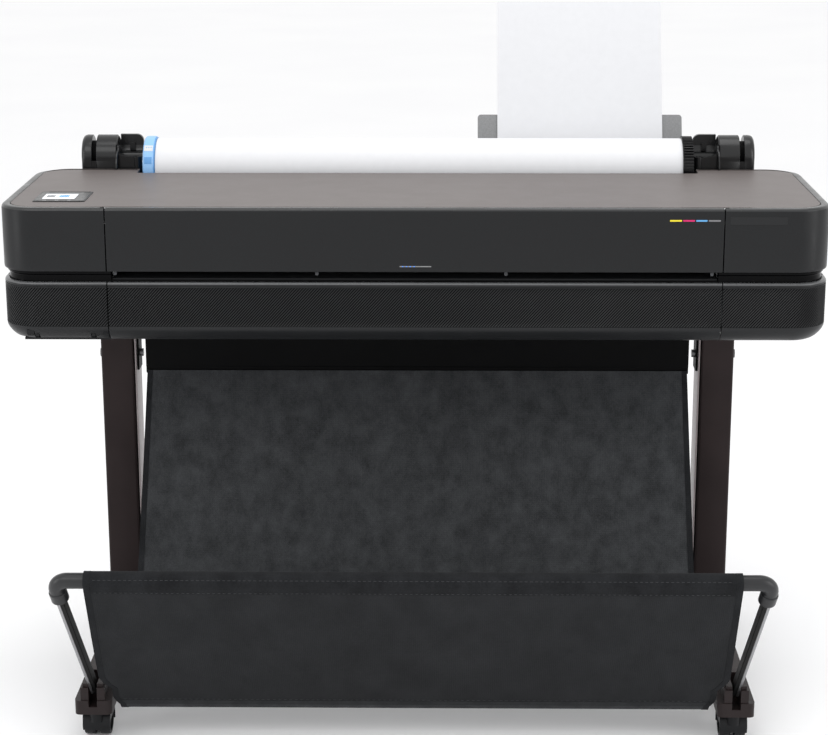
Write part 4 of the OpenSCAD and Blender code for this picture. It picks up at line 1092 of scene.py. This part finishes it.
def sling_point(u, s, lift):
    """A point of the sling at u from -1 to 1 across and s along, moved off its face by lift."""
    i = max(k for k in range(len(SLING) - 1) if SLING_AT[k] <= s + 1e-9)
    t = (s - SLING_AT[i]) / (SLING_AT[i + 1] - SLING_AT[i])
    y = SLING[i][0] + t * (SLING[i + 1][0] - SLING[i][0])
    z = SLING[i][1] + t * (SLING[i + 1][1] - SLING[i][1])
    a, b = SLING[max(i - 1, 0)], SLING[min(i + 2, len(SLING) - 1)]
    length = math.dist(a, b)
    ny, nz = (b[1] - a[1]) / length, -(b[0] - a[0]) / length
    if s < FRONT_START:
        drop = 0.0
    elif s < FRONT_END:
        k = (s - FRONT_START) / (FRONT_END - FRONT_START)
        drop = 5.0 * math.sin(math.pi * k) * (1 - 0.35 * u * u)
        drop += 0.9 * math.sin(9.0 * u + 5.0 * k) * math.sin(math.pi * k)
        drop += 1.1 * math.sin(23.0 * u - 3.0 * k) * math.sin(math.pi * k) ** 2 * abs(u)
    elif s < BACK_START:
        drop = 0.0
    else:
        k = (s - BACK_START) / (SLING_LENGTH - BACK_START)
        drop = 11.0 * math.sin(math.pi * k) * (1 - 0.3 * u * u)
        drop += 1.4 * math.sin(7.0 * u + 4.0 * k) * math.sin(math.pi * k)
        drop += 0.9 * math.sin(19.0 * u + 8.0 * k) * math.sin(math.pi * k) ** 2
    return (u * sling_half(s), y + ny * (drop + lift), z + nz * (drop + lift))


def sling_sheet(name, across, along, thickness, material):
    """A closed piece of cloth over the sling between lists of u and s values."""
    rows = []
    for s in along:
        top = [sling_point(u, s, thickness / 2) for u in across]
        low = [sling_point(u, s, -thickness / 2) for u in reversed(across)]
        rows.append(top + low)
    return loft(name, rows, material, 70)


def steps_between(start, end, step):
    """Even values from start to end, about step apart."""
    count = max(1, round((end - start) / step))
    return [start + (end - start) * k / count for k in range(count + 1)]


def make_sling():
    """One cloth from the tube's sleeve down the front, round the fold and up to the brace."""
    marks = sorted(set(SLING_AT + steps_between(FRONT_START, FRONT_END, 7.0)))
    across = [-1 + 2 * k / 96 for k in range(97)]
    cloth = sling_sheet("basket_sling", across, marks, SLING_THICK, CLOTH)
    # The front panel's faces take the darker cloth as painted shade.
    cloth.data.materials.append(CLOTH_FRONT_SHADE)
    per_row = 2 * len(across)
    for polygon in cloth.data.polygons:
        if min(polygon.vertices) // per_row < marks.index(FRONT_END):
            polygon.material_index = 1
    seam = FRONT_START + SEAM_DROP
    low = FRONT_END + 2.0
    edge = 0.981
    parts = [sling_sheet("hem", [u0, (u0 + u1) / 2, u1], marks, SLING_THICK + 1.3, SLEEVE)
             for u0, u1 in ((-1.0008, -edge), (edge, 1.0008))]
    parts.append(sling_sheet("sleeve", [u for u in across if abs(u) <= edge], [s for s in marks if s <= seam],
                             SLING_THICK + 0.9, SLEEVE))
    parts.append(sling_sheet("low_hem", [u * 0.98 for u in across], steps_between(low - 13.0, low - 3.0, 5.0),
                             SLING_THICK + 1.1, CLOTH_LIGHT))
    hems = join("sling_hems", parts)
    stitches = []
    rng = random.Random(11)
    for s, pitch, lift in ((seam - 3.0, 8.0, 1.4), (FRONT_START - 12.0, 8.0, 1.4), (low - 16.0, 9.0, 0.9)):
        half = sling_half(s) * 0.975
        count = int(2 * half / pitch)
        for k in range(count):
            u = (-half + pitch * (k + 0.5) + rng.uniform(-0.3, 0.3)) / sling_half(s)
            du = pitch * 0.27 / sling_half(s)
            stitches.append(((u - du, u + du), (s - 0.35, s + 0.35), lift))
    thread = stitch_mesh("sling_stitches", stitches)
    for piece in (cloth, hems, thread):
        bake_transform(piece)
    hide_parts("basket_front_cloth", "basket_back_cloth")


def stitch_mesh(name, stitches):
    """Short raised threads on the sling, as one mesh."""
    points, faces = [], []
    for (u0, u1), (s0, s1), lift in stitches:
        base = len(points)
        for s in (s0, s1):
            points += [sling_point(u, s, lift + rise)
                       for u, rise in ((u0, 0.0), ((u0 + u1) / 2, 0.5), (u1, 0.0))]
        points += [sling_point(u, (s0 + s1) / 2, lift - 0.6) for u in (u0, u1)]
        a, b, c, d, e, f, g, h = range(base, base + 8)
        faces += [(a, b, e, d), (b, c, f, e), (a, d, g), (c, h, f), (a, g, h, c, b), (d, e, f, h, g)]
    return add_mesh(name, points, faces, THREAD, 60)


# ---------------------------------------------------------------- roll holders, hubs and roll

def holder_outline():
    """The holder's section: upright front, round shoulder, round back over the roll's axis."""
    y, z = ROLL_AXIS
    return [(HOLDER_FRONT, DECK_Z), (HOLDER_FRONT, SLOT_END), (HOLDER_FRONT, SLOT_END + SLOT_RAMP)] \
        + arc(HOLDER_FRONT + 34.5, 893.0, 34.5, 180, 90, 10) + arc(y, z, HOLDER_R, 74, -46, 22) \
        + [(440.0, DECK_Z)]


def holder_ring(x, inset, above=0.0):
    """The section at x, drawn in by inset all round, or only above the level given."""
    y0, z0 = HOLDER_MIDDLE
    ring = []
    for y, z in holder_outline():
        pull = inset * min(1.0, max(0.0, (z - above) / SLOT_RAMP))
        k = 1 - pull / math.hypot(y - y0, z - z0)
        ring.append((x, y0 + (y - y0) * k, max(DECK_Z, z0 + (z - z0) * k)))
    return ring


def make_holder():
    """Right roll holder: domed outer drum, slot, inner drum, open cradle with a boss and a latch."""
    y, z = ROLL_AXIS
    inner, outer = CRADLE_X
    spans = [(587.0, 9.0), (586.4, 5.4), (584.6, 2.6), (581.8, 0.8), (578.0, 0.0), (SLOT_X[1] + 0.8, 0.0),
             (SLOT_X[1], 0.9)]
    rings = [holder_ring(x, inset) for x, inset in spans]
    rings += [holder_ring(x, 12.0, SLOT_END) for x in SLOT_X[::-1]]
    rings += [holder_ring(x, inset) for x, inset in ((SLOT_X[0], 0.9), (SLOT_X[0] - 0.8, 0.0),
                                                     (outer + 1.6, 0.0), (outer - 0.4, 2.2))]
    drum = loft("holder_right", rings, HOLDER, 30)
    # The ring fills the drum's slot with near black as painted shade.
    ring = loft("ring", [holder_ring(x, 10.5) for x in (SLOT_X[0] - 0.1, SLOT_X[1] + 0.1)], GROOVE_SHADE, 30)
    seat = [(388.0, DECK_Z), (388.0, 888.0), (y - SPINDLE_R, 888.0), (y - SPINDLE_R, z)]
    seat += arc(y, z, SPINDLE_R, 180, 360, 14)
    seat += [(y + SPINDLE_R, 892.0), (416.4, 894.6), (419.0, 895.4), (433.0, 895.4), (436.0, 897.0),
             (437.4, 900.0), (438.0, 906.0)]
    seat += arc(y, z, HOLDER_R, 35, -46, 16) + [(440.0, DECK_Z)]
    cradle = prism("cradle", seat, inner, outer, HOLDER, axis="x")
    front = [(inner, DECK_Z), (outer, DECK_Z), (outer, 914.0)] + arc(outer - 12, 907.0, 12.0, 0, -82, 8) \
        + [(498.0, 892.6), (487.0, 891.0), (inner, 888.4)]
    wall = prism("wall", front, HOLDER_FRONT, 390.8, HOLDER, axis="y")
    back = [(inner, 880.0), (outer, 880.0), (outer, 925.0)] + arc(inner + 12, 913.0, 12.0, 90, 180, 8)
    screen = prism("screen", back, 438.0, 446.5, HOLDER, axis="y")
    steps = [(0.0, 12.2), (2.8, 12.2), (3.4, 13.0), (3.4, 20.0), (2.4, 21.0), (2.4, 30.0), (3.2, 31.0),
             (3.2, 36.0), (2.2, 37.5), (0.0, 37.5)]
    disc = revolve_x("disc", [(outer - dx, r) for dx, r in steps], ROLL_AXIS, HOLDER, 64)
    latch = box_mesh("latch", (499.0, 508.0), (431.5, 438.5), (897.0, 911.0), HOLDER)
    boss = prism("boss", arc(489.2, 389.0, 8.2, 0, 345, 23), DECK_Z + 40, 893.5, HOLDER)
    for pierced in (boss, drum):
        cut(pierced, rod_x("bore", 470.0, 560.0, SPINDLE_R, ROLL_AXIS, HOLDER, 48))
    tidy(drum, 30)
    holder = join("holder_right", [drum, ring, cradle, wall, screen, disc, latch, boss])
    bevel(holder, 1.0, 3, 40)
    left = mirrored(holder, "holder_left")
    finish_piece(holder, "root", "holder_black", "roll_holder_right")
    finish_piece(left, "root", "holder_black", "roll_holder_left")


def ring_patch(x, inner, outer, start, end, material, steps=8):
    """A piece of a ring round the roll's axis between two angles."""
    y, z = ROLL_AXIS
    outline = arc(y, z, outer, start, end, steps) + arc(y, z, inner, end, start, steps)
    return prism("patch", outline, x[0], x[1], material, axis="x")


def make_blue_hub():
    """Blue hub: chamfered rim, darker flange by the paper, pale bands with dots, sunk pockets."""
    low, high = -475.6, -454.9
    rim = revolve_x("hub_rim", [(-457.0, 40.0), (-457.0, 52.6), (-457.6, 53.4), (-472.6, 53.4), (low, 50.6),
                                (low, 45.0), (-475.0, 42.5), (-475.0, 40.0)], ROLL_AXIS, BLUE, 128)
    body = revolve_x("hub_body", [(high, 12.2), (high, 51.4), (-456.0, 52.2), (-457.2, 52.2), (-457.2, 39.0),
                                  (-474.0, 39.0), (-474.0, 30.0), (-471.0, 28.0), (-471.0, 18.0),
                                  (-477.5, 16.5), (-477.5, 12.2)], ROLL_AXIS, BLUE_DEEP, 96)
    parts = [rim, body]
    for turn in range(0, 360, 90):
        parts.append(ring_patch((-473.6, -458.4), 52.0, 53.85, turn + 128, turn + 141, PALE))
        parts.append(ring_patch((-472.6, -459.6), 52.0, 53.75, turn + 153, turn + 166, BLUE_DEEP))
        for k in range(3):
            parts.append(ring_patch((-470.4 + 4 * k, -468.6 + 4 * k), 52.0, 54.05, turn + 132, turn + 134,
                                    BLUE_DEEP, 2))
        parts.append(ring_patch((-475.2, -472.5), 22.0, 42.0, turn + 30, turn + 40, BLUE_DEEP, 3))
    hub = bevel(join("hub_blue", parts), 0.4)
    finish_piece(hub, "roll", "hub_blue", "roll_hub_left")


def make_roll():
    """The paper roll on its card core, with wound edges showing at the ends."""
    left, right = -454.6, 459.6
    end = [(1.0, 50.0), (0.4, 49.9)]
    for k in range(9):
        r = 49.3 - 2.6 * k
        end += [(0.0, r), (0.14, r - 0.5)]
    end.append((0.0, 25.6))
    profile = [(left + dx, r) for dx, r in reversed(end)] + [(right - dx, r) for dx, r in end]
    roll = revolve_x("paper_roll", profile, ROLL_AXIS, ROLL, 144)
    finish_piece(roll, "roll", "paper_white", "media_roll")
    core = revolve_x("roll_core", [(left - 0.1, 25.45), (left - 0.1, 27.0), (right + 0.1, 27.0),
                                   (right + 0.1, 25.45)], ROLL_AXIS, CARD)
    finish_piece(core, "roll", "paper_white")


# ---------------------------------------------------------------- sheet in the feeder

def feeder_point(x, off, up):
    """A point of the leaning feeder: off its back and up along the sheet."""
    a = math.radians(FEED_LEAN)
    return (x, FEED_AT[0] + off * math.cos(a) + up * math.sin(a),
            FEED_AT[1] - off * math.sin(a) + up * math.cos(a))


def make_paper():
    """One sheet, bowed a little where it leaves the support plate and loose at its top corners."""
    x0, x1 = SHEET_X
    free = 215.0
    rows = []
    for j in range(43):
        up = SHEET_LONG * j / 42
        k = max(0.0, (up - free) / (SHEET_LONG - free))
        top, low = [], []
        for i in range(25):
            u = -1 + 2 * i / 24
            x = 0.5 * (x0 + x1) + u * 0.5 * (x1 - x0)
            off = 2.9 + 2.6 * k * k - 2.2 * k * u * u + 0.5 * k * math.sin(3.1 * u + 1.0)
            top.append(feeder_point(x, off - 0.2, up))
            low.append(feeder_point(x, off + 0.2, up))
        rows.append(top + low[::-1])
    sheet = loft("loaded_sheet", rows, PAPER, 60)
    finish_piece(sheet, "paper", "paper_white", "paper_sheet")


# ---------------------------------------------------------------- small pieces of the head

def make_exit_tabs():
    """Paper guide tabs that show below the window's edge."""
    tabs = []
    for x in (-474.0, -154.0, 145.0, 470.0):
        tabs.append(prism("tab", [(x - 2.6, 774.0), (x - 2.6, 765.4), (x - 1.6, 764.2), (x + 1.6, 764.2),
                                  (x + 2.6, 765.4), (x + 2.6, 774.0)], 7.6, 10.2, STATION, axis="y"))
        tabs.append(prism("dot", round_rect((x - 0.9, x + 0.9), (765.6, 768.4), 0.8, 3), 7.2, 8.0, STATION,
                          axis="y"))
    finish_piece(bevel(join("exit_tabs", tabs), 0.3), "root", "inner_plastic")


def make_cartridge(number, ink):
    """Black cartridge with a coloured tag let into its front face."""
    node = "ink_cartridge_%d" % number
    dress(node, LABEL, 1.0)
    low, high = (corner_point / MM for corner_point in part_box(node))
    x, z = 0.5 * (low.x + high.x), 0.5 * (low.z + high.z)
    tag = prism("ink_tag_%d" % number, round_rect((x - 6.0, x + 6.0), (z - 9.0, z + 9.0), 2.0),
                low.y - FRONT - 0.5, low.y - FRONT + 0.8, ink, axis="y", edge=0.3)
    finish_piece(tag, "cartridge_%d" % number, "ink_" + INK_SLOTS[number - 1])


def add_door_hinges(door):
    """Hinge barrels and pins inside the ink door, and the openings that the fixed lugs pass."""
    knives = [box_mesh("knife", (x - 1.2, x + 7.2), (4.2, 34.0), (640.0, 676.0), LOWER) for x in DOOR_LUGS]
    sill = [outline_at(-4.0 * k, LOWER_BACK) for k in range(100, 200)]
    sill = [(x - nx * DOOR_SILL, y - ny * DOOR_SILL) for x, y, nx, ny in sill]
    sill = [(x, y) for x, y in sill if x < -480.0 and y < 70.0]
    floor = [(-480.0, DOOR_SILL)] + sill + [(sill[-1][0], 70.0), (-480.0, 70.0)]
    knives.append(prism("knife", floor, 640.0, 669.0, LOWER))
    for knife in knives:
        cut(door, knife)
    tidy(door, 50)
    parts = []
    for a, b in ((-508.0, -496.0), (-618.0, -606.0)):
        parts.append(rod_x("barrel", a, b, 4.0, DOOR_HINGE, INNER, 28))
        parts.append(box_mesh("block", (a, b), (2.2, 10.5), (668.6, 675.6), INNER))
    for a, b in ((-515.5, -496.0), (-618.0, -598.5)):
        parts.append(rod_x("pin", a, b, 1.45, DOOR_HINGE, STEEL, 16))
    finish_piece(bevel(join("ink_door_hinges", parts), 0.3), "ink_door", "cover_lower")


# ---------------------------------------------------------------- the whole machine

make_upper_covers()
make_window()
make_window_marks()
make_top_panel()
make_display()
make_neck()
door_skin, rear_start = make_lower_covers()
make_rear_cover(rear_start)
make_legs()
make_brace()
make_basket_tube()
make_basket_arms()
make_sling()
make_holder()
make_blue_hub()
make_roll()
make_paper()
make_exit_tabs()
add_door_hinges(door_skin)

for _, word in SIDES:
    dress("foot_" + word, FOOT, 1.6, 3)
    for end in ("front", "rear"):
        dress("caster_hood_%s_%s" % (end, word), CASTER, 0.9)
        dress("caster_wheels_%s_%s" % (end, word), WHEEL, 1.2)
dress("stand_bolts", BOLT, 0.5)
dress("chassis", STEEL, 0.5)
dress("platen", INNER, 0.4)
dress("feed_roller", RUBBER, 0.4)
dress("feed_pinion", BRASS, 0.2)
dress("roll_pinion", BRASS, 0.25)
dress("pinch_rollers", RUBBER, 0.3)
dress("drive_motors", MOTOR, 0.5)
dress("carriage_rail", CHROME, 0.5)
dress("carriage", CARRIAGE, 1.2, 3)
dress("drive_belt", BELT, 0.2)
dress("drive_pulley", MOTOR, 0.2)
dress("idler_pulley", MOTOR, 0.2)
dress("service_station", STATION, 0.8)
dress("ink_bay", INNER, 0.6)

for number, colour in enumerate(("grey", "blue", "magenta", "yellow"), 1):
    make_cartridge(number, INK[colour])

dress("main_board", BOARD, 0.2)
dress("power_supply", STEEL, 0.8)
dress("power_switch", LABEL, 0.5)
dress("spindle_rod", CHROME, 0.6)
dress("roll_hub_right", HUB_BLACK, 0.5, 2, 25)
dress("sheet_feeder", FEEDER, 1.0)
dress("sheet_support", SUPPORT, 1.0, 3)
dress("sheet_guide", INNER, 0.8)
